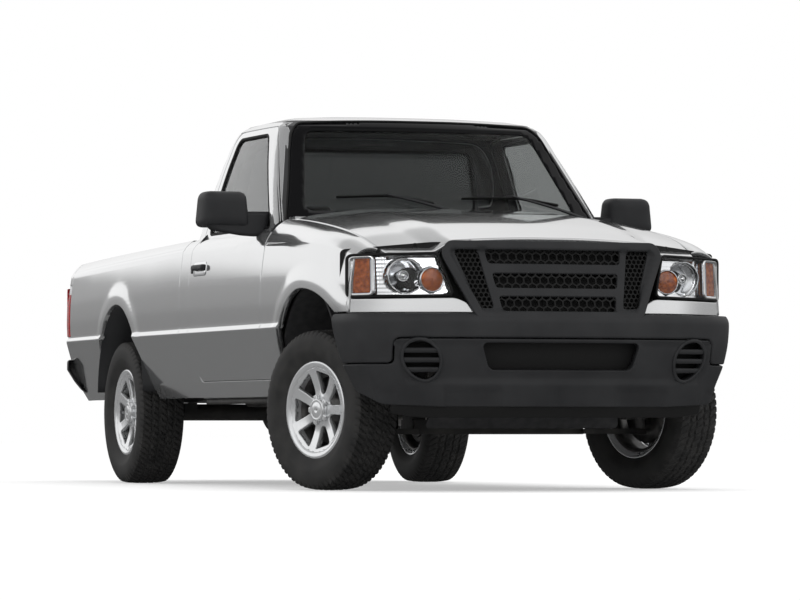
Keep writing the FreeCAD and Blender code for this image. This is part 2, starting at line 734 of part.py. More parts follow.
def lower_region(grow=0.0):
    """What lies below the line where the bumper's two mouldings part."""
    low = block((-1000, -2500, 300), (1000, -1900, SPLIT_SIDE + grow))
    raised = front_prism([(-SPLIT_X - grow, 400), (SPLIT_X + grow, 400), (SPLIT_X + grow, SPLIT_MID + grow),
                          (-SPLIT_X - grow, SPLIT_MID + grow)], 30.0, -2500, -1900)
    return low.fuse(raised)


def make_front_bumper():
    """The upper bumper moulding, hollow behind, with a shelf along its top."""
    shell = bumper_outer.cut(bumper_inner.cut(block((-1000, -2500, 720), (1000, -1900, 800))))
    shell = shell.common(block((-1000, -2500, 300), (1000, BUMPER_REAR, 760)))
    shell = shell.cut(lower_region())
    notch = front_prism([(-392, 690), (392, 690), (420, 780), (-420, 780)], 10, -2395, -1900)
    shell = shell.cut(notch)
    return shell.cut(block((-560, -2285, 600), (560, -1900, 760)))


def make_air_dam():
    """The lower moulding: a wide intake, two round louvred vents and the lip under them."""
    shell = bumper_outer.cut(bumper_inner)
    shell = shell.common(block((-1000, -2500, 346), (1000, BUMPER_REAR, 700)))
    shell = shell.common(lower_region(-2 * size.seat_gap))
    intake = front_prism([(-318, 503), (318, 503), (355, 617), (-355, 617)], 34, -2500, -2200)
    shell = shell.cut(intake)
    vent = bar((615, -2500, 546), (615, -2150, 546), 84.0)
    slats = vent
    for height in (508.0, 546.0, 584.0):
        slats = slats.cut(block((500, -2500, height - 6), (730, -2100, height + 6)))
    return shell.cut(side_loft(slats))


nodes["front_bumper"] = feature("front_bumper", make_front_bumper())
nodes["air_dam"] = feature("air_dam", make_air_dam())


SILL_STATIONS = (900.0, 1680.0, 2170.0)
frame_top = 630.0
gate_half = size.bed_half - size.shut_gap
gate_pin_y = size.bed_end - size.gate_thick / 2
BED_STEPS = 7
BED_DROP = 46.0
BED_DRAW = 52.0


def bed_loft(inset, over):
    """The bed's outer form in even stations, its sides drawn in and its rails lowered to the rear."""
    stations = []
    for step in range(BED_STEPS + 1):
        share = step / BED_STEPS
        y = bed_front - over + (size.bed_end + 2 * over - bed_front) * share
        stations.append(side_wire(y, inset, BED_DROP * share, BED_DRAW * share ** 3))
    return loft(stations)


def tail_lamp_space(shrink):
    """Where the left tail lamp sits in the bed's rear corner."""
    return block((700 + shrink, size.bed_end - 62 + shrink, 724 + shrink), (900, 2500, 972 - shrink))


def make_bed():
    """The bed: two double walls, front wall, ribbed floor, wheel housings and open rear."""
    form = bed_loft(0.0, 0.0)
    inner = bed_loft(size.panel, 5.0)
    floor_under = size.bed_floor - size.bed_floor_thick
    wall_rear = size.bed_end - size.gate_thick - size.shut_gap - 4
    under = inner.common(block((-900, 0, 300), (900, 3000, floor_under)))
    bed = form.cut(under)
    load = block((-size.bed_half, bed_front + size.bed_front_wall, size.bed_floor),
                 (size.bed_half, 3000, 1300))
    bed = bed.cut(load)
    bed = bed.cut(block((-size.bed_half, wall_rear, 300), (size.bed_half, 3000, 1300)))
    housing = arch(rear_axle_y, 520, 700, 16.0).common(block((500, 0, floor_under), (720, 3000, 1200)))
    bed = bed.fuse(housing).fuse(opposite(housing))
    lip = flare(form, rear_axle_y, arch(rear_axle_y, 700, 1000, size.flare_width))
    bed = bed.fuse(side_loft(lip))
    opening = arch(rear_axle_y, 535, 1000)
    bed = bed.cut(opening).cut(opposite(opening))
    bed = bed.cut(side_loft(tail_lamp_space(0.0)))
    for y in SILL_STATIONS:
        bed = bed.fuse(block((-520, y, frame_top + size.seat_gap), (520, y + 60, floor_under + 5)))
    for side in (-1, 1):
        pin_end = gate_half - 20
        bed = bed.fuse(bar((side * pin_end, gate_pin_y, size.gate_pin_z),
                           (side * (size.bed_half + 5), gate_pin_y, size.gate_pin_z), size.gate_pin))
    return bed.removeSplitter(), form


bed, bed_form = make_bed()
nodes["bed"] = feature("bed", bed)


def make_tail_lamps():
    """The upright lamps in the bed's rear corners."""
    return side_loft(bed_form.common(tail_lamp_space(size.seat_gap)))


nodes["tail_lamps"] = feature("tail_lamps", make_tail_lamps())
gate_bottom = size.bed_floor - size.bed_floor_thick + 2


def make_tailgate():
    """The tailgate with a blind hole for the bed's pin at each lower end."""
    gate = block((-gate_half, size.bed_end - size.gate_thick, gate_bottom),
                 (gate_half, size.bed_end, size.gate_top))
    hole = bar((gate_half - 21, gate_pin_y, size.gate_pin_z), (gate_half + 5, gate_pin_y, size.gate_pin_z),
               size.gate_pin + size.seat_gap)
    return gate.cut(side_loft(hole))


nodes["tailgate"] = feature("tailgate", make_tailgate())


STEP_TOP = 540.0
STEP_WALL = 10.0
HITCH_HOLE_Y = 2352.0
PLATE_HOLE_SPACING = 178.0


def make_rear_bumper():
    """The step bumper: a bowed bar with a step in its middle and a hole for a hitch ball."""
    low, high = 446.0, 606.0
    outline = Part.Wire([
        line((-835, 2250, low), (835, 2250, low)), line((835, 2250, low), (835, 2330, low)),
        bow((835, 2330, low), (810, 2372, low), (760, 2388, low)),
        bow((760, 2388, low), (0, size.rear_end, low), (-760, 2388, low)),
        bow((-760, 2388, low), (-810, 2372, low), (-835, 2330, low)),
        line((-835, 2330, low), (-835, 2250, low)),
    ])
    bumper = prism(outline, (0, 0, high - low))
    bumper = bumper.cut(block((-900, 2200, 400), (900, size.bed_end + 8, 800)))
    step = block((-230, 2300, STEP_TOP), (230, 2500, 700))
    hollow = block((-780, size.bed_end + 18, 400), (780, size.rear_end - 32, STEP_TOP - STEP_WALL))
    plate_hole = bar((PLATE_HOLE_SPACING / 2, 2300, 492), (PLATE_HOLE_SPACING / 2, 2500, 492), 3.5)
    bumper = bumper.cut(step).cut(hollow).cut(side_loft(plate_hole))
    return bumper.cut(bar((0, HITCH_HOLE_Y, 400), (0, HITCH_HOLE_Y, 700), 12.7)).removeSplitter()


nodes["rear_bumper"] = feature("rear_bumper", make_rear_bumper())

# The frame: y, inner face and underside of a rail at each bend.
RAIL = [
    (-2255.0, size.rail_front_x, 425.0),
    (-1900.0, size.rail_front_x, 425.0),
    (-1800.0, size.rail_front_x, 455.0),
    (-1400.0, size.rail_front_x, 455.0),
    (-1135.0, size.rail_rear_x, size.floor_under - size.rail_depth - size.seat_gap),
    (440.0, size.rail_rear_x, size.floor_under - size.rail_depth - size.seat_gap),
    (840.0, size.rail_rear_x, frame_top - size.rail_depth),
    (size.bed_end + 8 - size.seat_gap, size.rail_rear_x, frame_top - size.rail_depth),
]


RADIATOR_BOTTOM = 478.0
HIGH_MEMBER = 590.0
SPARE_Y = 1900.0
SPRING_SLOT = 61.0
EYE_RADIUS = 22.0
spring_seat = size.tyre_radius + size.axle_tube + 6
FRONT_EYE_Z = spring_seat + 62
REAR_EYE_Z = spring_seat + 108


def make_frame():
    """The ladder frame: two rails with a rise over the rear axle, cross members and bumper beams."""
    sections = []
    for y, x, z in RAIL:
        sections.append(polygon([(x, y, z), (x + size.rail_width, y, z),
                                 (x + size.rail_width, y, z + size.rail_depth), (x, y, z + size.rail_depth)]))
    rail = loft(sections, ruled=True)
    rest = size.gearbox_z - size.case_radius - size.seat_gap
    members = [
        block((-size.rail_front_x, -2160, 430), (size.rail_front_x, -2090, RADIATOR_BOTTOM - size.seat_gap)),
        block((-size.rail_rear_x - 10, -760, rest - 28), (size.rail_rear_x + 10, -690, rest)),
        block((size.rail_rear_x - 35, -760, rest - 28), (size.rail_rear_x + 10, -690, 400)),
        block((-size.rail_rear_x - 10, -760, rest - 28), (-size.rail_rear_x + 35, -690, 400)),
        block((-size.rail_rear_x, -130, 350), (size.rail_rear_x, -70, 380)),
        block((size.rail_rear_x - 35, -130, 350), (size.rail_rear_x + 10, -70, 400)),
        block((-size.rail_rear_x - 10, -130, 350), (-size.rail_rear_x + 35, -70, 400)),
        block((-size.rail_rear_x, 960, HIGH_MEMBER), (size.rail_rear_x, 1030, frame_top - 2)),
        block((-size.rail_rear_x, 1540, HIGH_MEMBER), (size.rail_rear_x, 1610, frame_top - 2)),
        block((-size.rail_rear_x, SPARE_Y - 30, HIGH_MEMBER),
              (size.rail_rear_x, SPARE_Y + 30, frame_top - 2)),
        block((-size.rail_rear_x, 2238, 510), (size.rail_rear_x, 2290, frame_top - 2)),
    ]
    spring_low, spring_high = size.spring_x - SPRING_SLOT / 2, size.spring_x + SPRING_SLOT / 2
    hanger = block((size.rail_rear_x + size.rail_width - 5, 590, 400), (size.spring_x + 39, 650, 500))
    hanger = hanger.cut(block((spring_low, 580, 380),
                              (spring_high, 660, FRONT_EYE_Z + EYE_RADIUS + size.seat_gap)))
    shackle = block((size.rail_rear_x + size.rail_width - 5, 1880, 470), (size.spring_x + 39, 1930, 545))
    shackle = shackle.cut(block((spring_low, 1870, 450),
                                (spring_high, 1940, REAR_EYE_Z + EYE_RADIUS + size.seat_gap)))
    mount = block((size.engine_width / 2 + size.seat_gap, -1800, 480), (size.rail_front_x + 5, -1720, 530))
    beam = block((-560, -2420, 450), (560, -2250.0, 500)).common(bumper_form(size.panel + size.seat_gap))
    pieces = [hanger, shackle, mount]
    frame = rail.fuse([opposite(rail), beam] + pieces + [opposite(piece) for piece in pieces] + members)
    return frame.removeSplitter()


nodes["chassis_frame"] = feature("chassis_frame", make_frame())

nodes["engine"] = box("engine", ("-engine_width / 2", "engine_front", "engine_bottom"),
                      "engine_width", "engine_length", "engine_height")
bell = cone("bell_housing", ("0", "engine_front + engine_length + seat_gap", "gearbox_z"), "y",
            "190", "case_radius + 8", "320 - seat_gap")
case = cylinder("gear_case", ("0", "engine_front + engine_length + 320", "gearbox_z"), "y",
                "case_radius", "480")
nodes["gearbox"] = fuse("gearbox", bell, case)

shaft_y = size.engine_front + size.engine_length + 802.1
nodes["driveshaft"] = feature("driveshaft", bar((0, shaft_y, 455), (0, rear_axle_y - 150, 372), 38.0))


DRUM_BACK = 48.0


def make_rear_axle():
    """The live axle: tube, differential housing, spring seats and hub ends."""
    reach = size.rear_track / 2 - DRUM_BACK - size.seat_gap
    hub = size.tyre_radius
    tube = bar((-reach, rear_axle_y, hub), (reach, rear_axle_y, hub), size.axle_tube)
    ball = Part.makeSphere(size.diff_radius, Vector(0, rear_axle_y, size.tyre_radius))
    nose_cone = Part.makeCone(80, 52, 145, Vector(0, rear_axle_y - 5, hub + 8), Vector(0, -1, 0.16))
    axle = tube.fuse(ball).fuse(nose_cone)
    for side in (-1, 1):
        seat = block((side * size.spring_x - 32, rear_axle_y - 45, size.tyre_radius),
                     (side * size.spring_x + 32, rear_axle_y + 45, spring_seat - 0.8))
        plate = bar((side * (reach - 12), rear_axle_y, size.tyre_radius),
                    (side * reach, rear_axle_y, size.tyre_radius), size.drum_radius - 6)
        axle = axle.fuse(seat).fuse(plate)
    return axle.cut(bar((0, shaft_y, 455), (0, rear_axle_y - 150, 372), 38.5)).removeSplitter()


nodes["rear_axle"] = feature("rear_axle", make_rear_axle())


def make_leaf_springs():
    """Two packs of leaves, arched over the axle, hung from the rails."""
    leaves = None
    for index, reach in enumerate((1.0, 0.78, 0.55)):
        low = spring_seat + 11 * (2 - index)
        front = (rear_axle_y - 640 * reach, low + 34 * reach * reach)
        back = (rear_axle_y + 640 * reach, low + 74 * reach * reach)
        x = size.spring_x - size.spring_width / 2

        def at(point, lift):
            return (x, point[0], point[1] + lift)
        middle = (rear_axle_y, low)
        outline = Part.Wire([
            bow(at(front, 0), at(middle, 0), at(back, 0)), line(at(back, 0), at(back, 11)),
            bow(at(back, 11), at(middle, 11), at(front, 11)), line(at(front, 11), at(front, 0))])
        leaf = prism(outline, (size.spring_width, 0, 0))
        leaves = leaf if leaves is None else leaves.fuse(leaf)
    for y, z in ((rear_axle_y - 644, FRONT_EYE_Z), (rear_axle_y + 640, REAR_EYE_Z)):
        eye = bar((size.spring_x - 30, y, z), (size.spring_x + 30, y, z), EYE_RADIUS)
        leaves = leaves.fuse(eye)
    return side_loft(leaves)


nodes["leaf_springs"] = feature("leaf_springs", make_leaf_springs())


def make_front_suspension():
    """The cross member under the engine with upper and lower arms and a coil between them."""
    axle = size.front_axle
    member = block((-size.rail_front_x - 60, axle - 80, 238), (size.rail_front_x + 60, axle + 80, 300))
    tower = block((size.rail_front_x, axle - 60, 300),
                  (size.rail_front_x + 60, axle + 60, 455 - size.seat_gap))
    member = member.fuse(side_loft(tower))
    tip = size.kingpin_x
    for side in (-1, 1):
        low_outline = polygon([(side * 380, axle - 120, 240), (side * 380, axle + 120, 240),
                               (side * (tip + 20), axle + 26, 240), (side * (tip + 20), axle - 26, 240)])
        high_outline = polygon([(side * 390, axle - 70, 430), (side * 390, axle + 70, 430),
                                (side * (tip + 16), axle + 20, 430), (side * (tip + 16), axle - 20, 430)])
        lower = prism(low_outline, (0, 0, 22))
        upper = prism(high_outline, (0, 0, 16))
        coil = Part.makeCylinder(46, 172, Vector(side * 480, axle, 260))
        member = member.fuse([lower, upper, coil])
    return member.removeSplitter()


nodes["front_suspension"] = feature("front_suspension", make_front_suspension())


def steered(side):
    """The turn about a kingpin from straight ahead to the parked angle."""
    turn = FreeCAD.Rotation(Vector(0, 0, 1), size.steer_rest)
    return FreeCAD.Placement(Vector(), turn, Vector(side * size.kingpin_x, size.front_axle, 0))


def make_knuckle(side):
    """An upright between the arms with the stub that carries the wheel."""
    x = side * size.kingpin_x
    hub = size.tyre_radius
    post = Part.makeCylinder(22, 430 - 262 - 0.6, Vector(x, size.front_axle, 262.3))
    boss = Part.makeCylinder(42, 34, Vector(x - side * 8, size.front_axle, hub), Vector(side, 0, 0))
    stub = Part.makeCylinder(size.spindle_radius, 96, Vector(x, size.front_axle, hub), Vector(side, 0, 0))
    arm = block((min(x - side * 10, x + side * 8), size.front_axle, hub - 40),
                (max(x - side * 10, x + side * 8), size.front_axle + 120, hub - 18))
    return post.fuse([boss, stub, arm]).removeSplitter()


for side, label in ((1, "knuckle_left"), (-1, "knuckle_right")):
    nodes[label] = feature(label, make_knuckle(side), steered(side))

SPOKES = 7


def tyre_shape(x, y):
    """A tyre as one turned ring, its section from bead to tread."""
    half = size.tyre_width / 2
    radius = size.tyre_radius
    bead = size.bead_radius
    foot = size.rim_width / 2 - 8.5
    low = bead + size.seat_gap
    outline = [(4 - foot, low), (foot - 4, low), (foot, low + 8.5), (half, bead + 68),
               (half * 0.93, radius - 32), (half * 0.80, radius - 7), (0, radius), (-half * 0.80, radius - 7),
               (-half * 0.93, radius - 32), (-half, bead + 68), (-foot, low + 8.5)]
    ring = Part.Face(polygon([(x + px, y, size.tyre_radius + pz) for px, pz in outline]))
    return ring.revolve(Vector(x, y, size.tyre_radius), Vector(1, 0, 0), 360)


def wheel_shape(x, y, side, hub_back, brake_radius):
    """A rim with seven wide spokes round a capped hub; the brake's disc or drum is behind them."""
    centre = Vector(x, y, size.tyre_radius)
    half = size.rim_width / 2
    bead = size.bead_radius

    def at(px, pz):
        return (x + side * px, y, size.tyre_radius + pz)

    barrel = Part.Face(polygon([
        at(-half, bead + 8), at(-half, bead - 14), at(-half + 20, bead - 24), at(half - 18, bead - 20),
        at(half - 4, bead - 10), at(half, bead + 8), at(half - 8, bead + 8), at(half - 12, bead),
        at(-half + 12, bead), at(-half + 8, bead + 8)]))
    barrel = barrel.revolve(centre, Vector(1, 0, 0), 360)
    face = Part.Face(polygon([
        at(38, 0), at(38, 70), at(52, bead - 20), at(half - 18, bead - 20), at(half - 34, 92),
        at(half - 30, 52), at(half - 30, 44), at(half - 12, 40), at(half - 8, 0)]))
    face = face.revolve(centre, Vector(1, 0, 0), 360)
    step = 360.0 / SPOKES
    near, far = 88.0, bead - 27.0
    corners = []
    for radius, spread in ((near, 7.0), (far, 12.5)):
        for sign in (-1, 1):
            angle = math.radians(spread * sign)
            corners.append((x, y + radius * math.sin(angle), size.tyre_radius + radius * math.cos(angle)))
    window = prism(rounded([corners[0], corners[1], corners[3], corners[2]], 8), (side * 120, 0, 0))
    for index in range(SPOKES):
        cutter = window.copy()
        cutter.rotate(centre, Vector(1, 0, 0), step * (index + 0.5))
        face = face.cut(cutter)
    hat = Part.makeCylinder(72, 38 - hub_back, centre + Vector(side * hub_back, 0, 0), Vector(side, 0, 0))
    brake = Part.makeCylinder(brake_radius, 22 if brake_radius == size.disc_radius else 38 - hub_back,
                              centre + Vector(side * hub_back, 0, 0), Vector(side, 0, 0))
    return barrel.fuse([face, hat, brake]).removeSplitter()


for axle, y, track in (("front", size.front_axle, size.front_track), ("rear", rear_axle_y, size.rear_track)):
    for side, hand in ((1, "left"), (-1, "right")):
        x = side * track / 2
        front = axle == "front"
        tyre = tyre_shape(x, y)
        if front:
            wheel = wheel_shape(x, y, side, -12.0, size.disc_radius)
        else:
            wheel = wheel_shape(x, y, side, -DRUM_BACK, size.drum_radius)
        if front:
            bore_start = Vector(x - side * 60, y, size.tyre_radius)
            bore = Part.makeCylinder(size.spindle_radius + 0.3, 110, bore_start, Vector(side, 0, 0))
            wheel = wheel.cut(bore)
        place = steered(side) if front else None
        nodes["tyre_%s_%s" % (axle, hand)] = feature("tyre_%s_%s" % (axle, hand), tyre, place)
        nodes["wheel_%s_%s" % (axle, hand)] = feature("wheel_%s_%s" % (axle, hand), wheel, place)


def make_spare():
    """The spare wheel, flat under the bed, hung from the rear cross members."""
    ring = Part.makeCylinder(332, 190, Vector(34, SPARE_Y, 392))
    dish = Part.makeCylinder(190, 120, Vector(34, SPARE_Y, 380))
    hub = Part.makeCylinder(40, 68 - size.seat_gap, Vector(34, SPARE_Y, HIGH_MEMBER - 68))
    return ring.cut(dish).fuse(hub)


nodes["spare_wheel"] = feature("spare_wheel", make_spare())


def make_exhaust():
    """A pipe, a muffler and a tailpipe on the truck's right."""
    pipe = bar((-270, -1400, 300), (-270, -60, 300), 26)
    muffler = bar((-270, -60, 345), (-270, 470, 345), 82)
    points = [(-270, 470, 345), (-270, 900, 470), (-270, 1560, 500), (-345, 1700, 470), (-345, 2200, 440)]
    tail = None
    for start, end in zip(points, points[1:]):
        run = bar(start, end, 24).fuse(Part.makeSphere(24, Vector(*end)))
        tail = run if tail is None else tail.fuse(run)
    flange_x = -size.engine_width / 2 - size.seat_gap
    down = bar((-270, -1400, 300), (-270, -1480, 480), 26).fuse(Part.makeSphere(26, Vector(-270, -1400, 300)))
    down = down.fuse(bar((-290, -1480, 480), (flange_x, -1480, 480), 34))
    front_hanger = bar((-270, -100, 300), (-270, -100, 350 - size.seat_gap), 6)
    rear_hanger = bar((-270, 1000, 475), (-270, 1000, HIGH_MEMBER - size.seat_gap), 6)
    return pipe.fuse([muffler, tail, down, front_hanger, rear_hanger]).removeSplitter()


nodes["exhaust"] = feature("exhaust", make_exhaust())
tank = box("fuel_tank", ("rail_rear_x - seat_gap - 300", "170", "335"), "300", "740", "150")
nodes["fuel_tank"] = tank

radiator_core = box("radiator_core", ("-318", "-2150", str(RADIATOR_BOTTOM)), "636", "50", "480")
tie_bar = box("tie_bar", ("-430", "-2150", "958"), "860", "50", "30")
nodes["radiator"] = fuse("radiator", radiator_core, tie_bar)


def make_liners():
    """The inner walls of the front wheel openings with their arched roofs."""
    shell = arch(size.front_axle, 446, 835, 14.0).cut(arch(size.front_axle, 460, 900, 2.0))
    shell = shell.cut(block((300, -2400, -100), (900, 0, 600)))
    apron = block((404, -2050, 585 + size.seat_gap), (446, CAB_FRONT - size.seat_gap, 985))
    apron = apron.fuse(block((404, size.front_axle - 404, 900), (446, size.front_axle + 404, 985)))
    side = shell.fuse(apron).common(front_body(size.panel + size.seat_gap))
    return side_loft(side)


nodes["wheel_liners"] = feature("wheel_liners", make_liners())


def make_bench():
    """The bench seat: a thick cushion and a raked back."""
    floor_top = size.floor_under + size.floor_thick + size.seat_gap
    low_outline = [(-450, floor_top), (120, floor_top), (130, 760), (-420, 790), (-480, 750)]
    high_outline = [(0, 700), (110, 700), (140, 1010), (105, 1300), (20, 1300), (-20, 1000)]
    cushion = side_prism(low_outline, 30, -620, 620)
    back = side_prism(high_outline, 18, -620, 620)
    return cushion.fuse(back).cut(tunnel(TUNNEL_WALL + 1))


nodes["bench_seat"] = feature("bench_seat", make_bench())


tilt = math.radians(size.column_tilt)
COLUMN_AXIS = Vector(0, math.cos(tilt), math.sin(tilt))
WHEEL_CENTRE = Vector(size.steering_x, -560, 1010)


def column(radius, reach):
    """A round bar down the steering column's middle line from the wheel's centre."""
    return Part.makeCylinder(radius, reach, WHEEL_CENTRE - COLUMN_AXIS * reach, COLUMN_AXIS)


def make_dashboard():
    """The dashboard across the cabin with a hood over the dials and a stack in the middle."""
    firewall = CAB_FRONT + size.frame_wall + size.seat_gap
    outline = [(firewall, 900), (-840, 780), (-770, 820), (-760, 960), (-820, 1080), (firewall, 1110)]
    body = side_prism(outline, 25, -640, 640)
    binnacle = side_prism([(-900, 1040), (-775, 1030), (-780, 1105), (-900, 1125)], 15, 200, 540)
    stack = side_prism([(-980, 640), (-800, 640), (-760, 830), (-980, 930)], 15, -150, 150)
    board = body.fuse(binnacle).fuse(stack)
    return board.cut(column(size.column_radius + size.seat_gap, 250)).removeSplitter()


nodes["dashboard"] = feature("dashboard", make_dashboard())


def make_steering_wheel():
    """A rim on three spokes round a padded hub, at the end of its shaft."""
    across = Vector(1, 0, 0)
    down = COLUMN_AXIS.cross(across)
    corners = []
    for step in range(8):
        angle = math.radians(45 * step + 22.5)
        outwards = down * (size.wheel_rim + 16 * math.cos(angle))
        corners.append(WHEEL_CENTRE + outwards + COLUMN_AXIS * 16 * math.sin(angle))
    rim = Part.Face(Part.makePolygon(corners + corners[:1])).revolve(WHEEL_CENTRE, COLUMN_AXIS, 360)
    hub = Part.makeCylinder(62, 46, WHEEL_CENTRE - COLUMN_AXIS * 34, COLUMN_AXIS)
    wheel = rim.fuse([hub, column(size.column_radius, 225)])
    for direction in (across, across * -1, down):
        wheel = wheel.fuse(Part.makeCylinder(10, size.wheel_rim, WHEEL_CENTRE - COLUMN_AXIS * 4, direction))
    return wheel.removeSplitter()


nodes["steering_wheel"] = feature("steering_wheel", make_steering_wheel())


def make_mirror():
    """The left door mirror: a deep head on a short arm, its glass facing back."""
    sections = []
    for y, shrink in ((-812.0, 34.0), (-780.0, 8.0), (-728.0, 0.0), (-690.0, 4.0)):
        sections.append(rounded([(868 + shrink, y, 1160 + shrink), (1042 - shrink, y, 1152 + shrink),
                                 (1050 - shrink, y, 1296 - shrink), (872 + shrink, y, 1304 - shrink)], 24))
    head = loft(sections)
    head = head.cut(front_prism([(880, 1172), (1034, 1166), (1036, 1288), (884, 1292)], 16, -702, -600))
    foot = polygon([(770, -800, 1144), (900, -790, 1150), (900, -730, 1150), (770, -715, 1144)])
    arm = prism(foot, (0, 0, 40))
    mirror_shape = head.fuse(arm).cut(outer_skin.translated(Vector(size.seat_gap, 0, 0)))
    return mirror_shape.removeSplitter()


mirror_solid = make_mirror()
nodes["mirror_left"] = feature("mirror_left", mirror_solid)
nodes["mirror_right"] = feature("mirror_right", opposite(mirror_solid))

doc.recompute()


def export():
    """Checks every object, then writes each sub-part to its own file."""
    for piece in doc.Objects:
        state = [word for word in piece.State if word in ("Invalid", "Error")]
        if state:
            raise RuntimeError("%s is %s" % (piece.Label, state))
    for name, piece in nodes.items():
        shape = piece.Shape
        if shape.isNull() or not shape.isValid():
            raise RuntimeError("%s has no valid shape" % name)
    os.makedirs("parts", exist_ok=True)
    for name, piece in nodes.items():
        piece.Shape.exportStep("parts/%s.step" % name)
        shape = piece.Shape
        print("%-18s %d solid(s) %8.1f l  x %6.0f %6.0f  y %6.0f %6.0f  z %6.0f %6.0f" % (
            name, len(shape.Solids), shape.Volume / 1e6, shape.BoundBox.XMin, shape.BoundBox.XMax,
            shape.BoundBox.YMin, shape.BoundBox.YMax, shape.BoundBox.ZMin, shape.BoundBox.ZMax))


export()
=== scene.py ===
# %% [markdown]
# # A compact pickup truck
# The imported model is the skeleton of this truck: it knows where every panel, hinge and wheel belongs.
# Here each visible piece gets the fine surface and the finish that a solid model of that kind can't
# carry. Lengths are written in millimetres, as on a drawing, and become metres when a mesh is made.

# %% Load the frame
import json
import math
import bpy
import numpy as np
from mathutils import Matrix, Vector
from mathutils.geometry import delaunay_2d_cdt


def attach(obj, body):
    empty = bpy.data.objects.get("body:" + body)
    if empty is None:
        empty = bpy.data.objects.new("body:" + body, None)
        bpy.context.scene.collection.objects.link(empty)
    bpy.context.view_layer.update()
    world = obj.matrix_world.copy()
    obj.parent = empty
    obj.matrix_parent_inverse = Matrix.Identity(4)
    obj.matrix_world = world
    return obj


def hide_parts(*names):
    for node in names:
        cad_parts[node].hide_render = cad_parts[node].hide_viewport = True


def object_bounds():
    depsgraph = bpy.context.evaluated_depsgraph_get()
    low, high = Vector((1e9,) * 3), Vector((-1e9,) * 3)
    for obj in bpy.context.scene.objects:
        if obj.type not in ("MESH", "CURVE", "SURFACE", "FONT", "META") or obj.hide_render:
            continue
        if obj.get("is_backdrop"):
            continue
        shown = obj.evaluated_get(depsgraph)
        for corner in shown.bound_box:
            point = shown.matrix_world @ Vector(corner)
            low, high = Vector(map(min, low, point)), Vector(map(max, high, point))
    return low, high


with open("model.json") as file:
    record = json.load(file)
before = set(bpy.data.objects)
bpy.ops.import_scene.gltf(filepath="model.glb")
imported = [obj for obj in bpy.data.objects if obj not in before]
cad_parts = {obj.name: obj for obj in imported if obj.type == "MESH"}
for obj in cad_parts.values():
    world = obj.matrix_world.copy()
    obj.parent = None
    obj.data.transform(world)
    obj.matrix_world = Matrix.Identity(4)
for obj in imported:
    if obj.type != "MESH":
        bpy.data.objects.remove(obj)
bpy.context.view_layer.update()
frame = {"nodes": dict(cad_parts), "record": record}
nodes = frame["nodes"]
MM = 0.001

# %% [markdown]
# The camera stands far in front of the truck's right corner, at bumper height, with a long lens. That
# keeps the sides nearly parallel, and the body is seen a little from below.

# %% Camera
CAMERA_PLACE = (-7161.2, -20440.1, 257.8)
CAMERA_YAW = 19.646
CAMERA_PITCH = 1.591
CAMERA_LENS = 210.09

lens = bpy.data.cameras.new("camera")
lens.lens = CAMERA_LENS
lens.sensor_width = 36.0
lens.clip_end = 200.0
camera = bpy.data.objects.new("camera", lens)
bpy.context.scene.collection.objects.link(camera)
camera.location = [value * MM for value in CAMERA_PLACE]
camera.rotation_euler = (math.radians(90 + CAMERA_PITCH), 0, math.radians(-CAMERA_YAW))
bpy.context.scene.camera = camera
bpy.context.scene.view_settings.view_transform = "Standard"
print("camera", [round(value, 3) for value in camera.location])

# %% [markdown]
# The studio is white. The world lights the truck evenly at a plain level and shows white to the camera. In
# reflections it is a photographer's room instead: low grey walls, a bright strip above them and a darker
# ceiling. A camera at bumper height sees the body's sides at a shallow angle, so they mirror the far end
# of that room, and the walls' top edge gives the silver its dark lower half and its bright shoulder.

# %% World
def add_node(tree, kind, inputs=(), **settings):
    """A new node of a kind with its settings. Each input is either a value to set or a socket to link."""
    fresh = tree.nodes.new("ShaderNode" + kind)
    for key, value in settings.items():
        setattr(fresh, key, value)
    for key, value in dict(inputs).items():
        if isinstance(value, bpy.types.NodeSocket):
            tree.links.new(value, fresh.inputs[key])
        else:
            fresh.inputs[key].default_value = value
    return fresh


world = bpy.data.worlds.new("studio")
bpy.context.scene.world = world
world.use_nodes = True
tree = world.node_tree
background = tree.nodes["Background"]
path = add_node(tree, "LightPath")
heading = add_node(tree, "SeparateXYZ", {0: add_node(tree, "TexCoord").outputs["Generated"]})


def room_shade(stops):
    """Grey by the height of a direction, from level to straight up, as (height, grey) pairs."""
    ramp = add_node(tree, "ValToRGB", {"Fac": heading.outputs["Z"]})
    band = ramp.color_ramp
    band.interpolation = "EASE"
    while len(band.elements) < len(stops):
        band.elements.new(0.5)
    for element, (height, grey) in zip(band.elements, stops):
        element.position = height
        element.color = (grey, grey, grey, 1)
    return ramp.outputs["Color"]


def blend(factor, first, second):
    """A mix of two colours by a factor."""
    return add_node(tree, "Mix", {0: factor, 6: first, 7: second}, data_type="RGBA").outputs[2]


to_left = add_node(tree, "MapRange", {"From Min": 0.0, "From Max": 0.55, "Value": heading.outputs["X"]})
to_front = add_node(tree, "MapRange", {"From Min": 0.1, "From Max": -0.2, "Value": heading.outputs["Y"]})
right_room = room_shade([(0.0, 0.22), (0.09, 0.36), (0.112, 1.0), (0.48, 1.0), (0.6, 0.5), (1.0, 0.3)])
left_room = room_shade([(0.0, 0.3), (0.1, 0.42), (0.22, 0.6), (0.5, 0.8), (0.9, 0.8), (1.0, 0.14)])
front_room = room_shade([(0.0, 0.35), (0.1, 0.5), (0.25, 0.9), (0.6, 0.8), (1.0, 0.3)])
room = blend(to_front.outputs[0], blend(to_left.outputs[0], right_room, left_room), front_room)
PLAIN_LIGHT = (1.0, 1.0, 1.0, 1)
world.cycles.sampling_method = "NONE"
tree.links.new(blend(path.outputs["Is Glossy Ray"], PLAIN_LIGHT, room), background.inputs["Color"])
print("world nodes", len(tree.nodes))


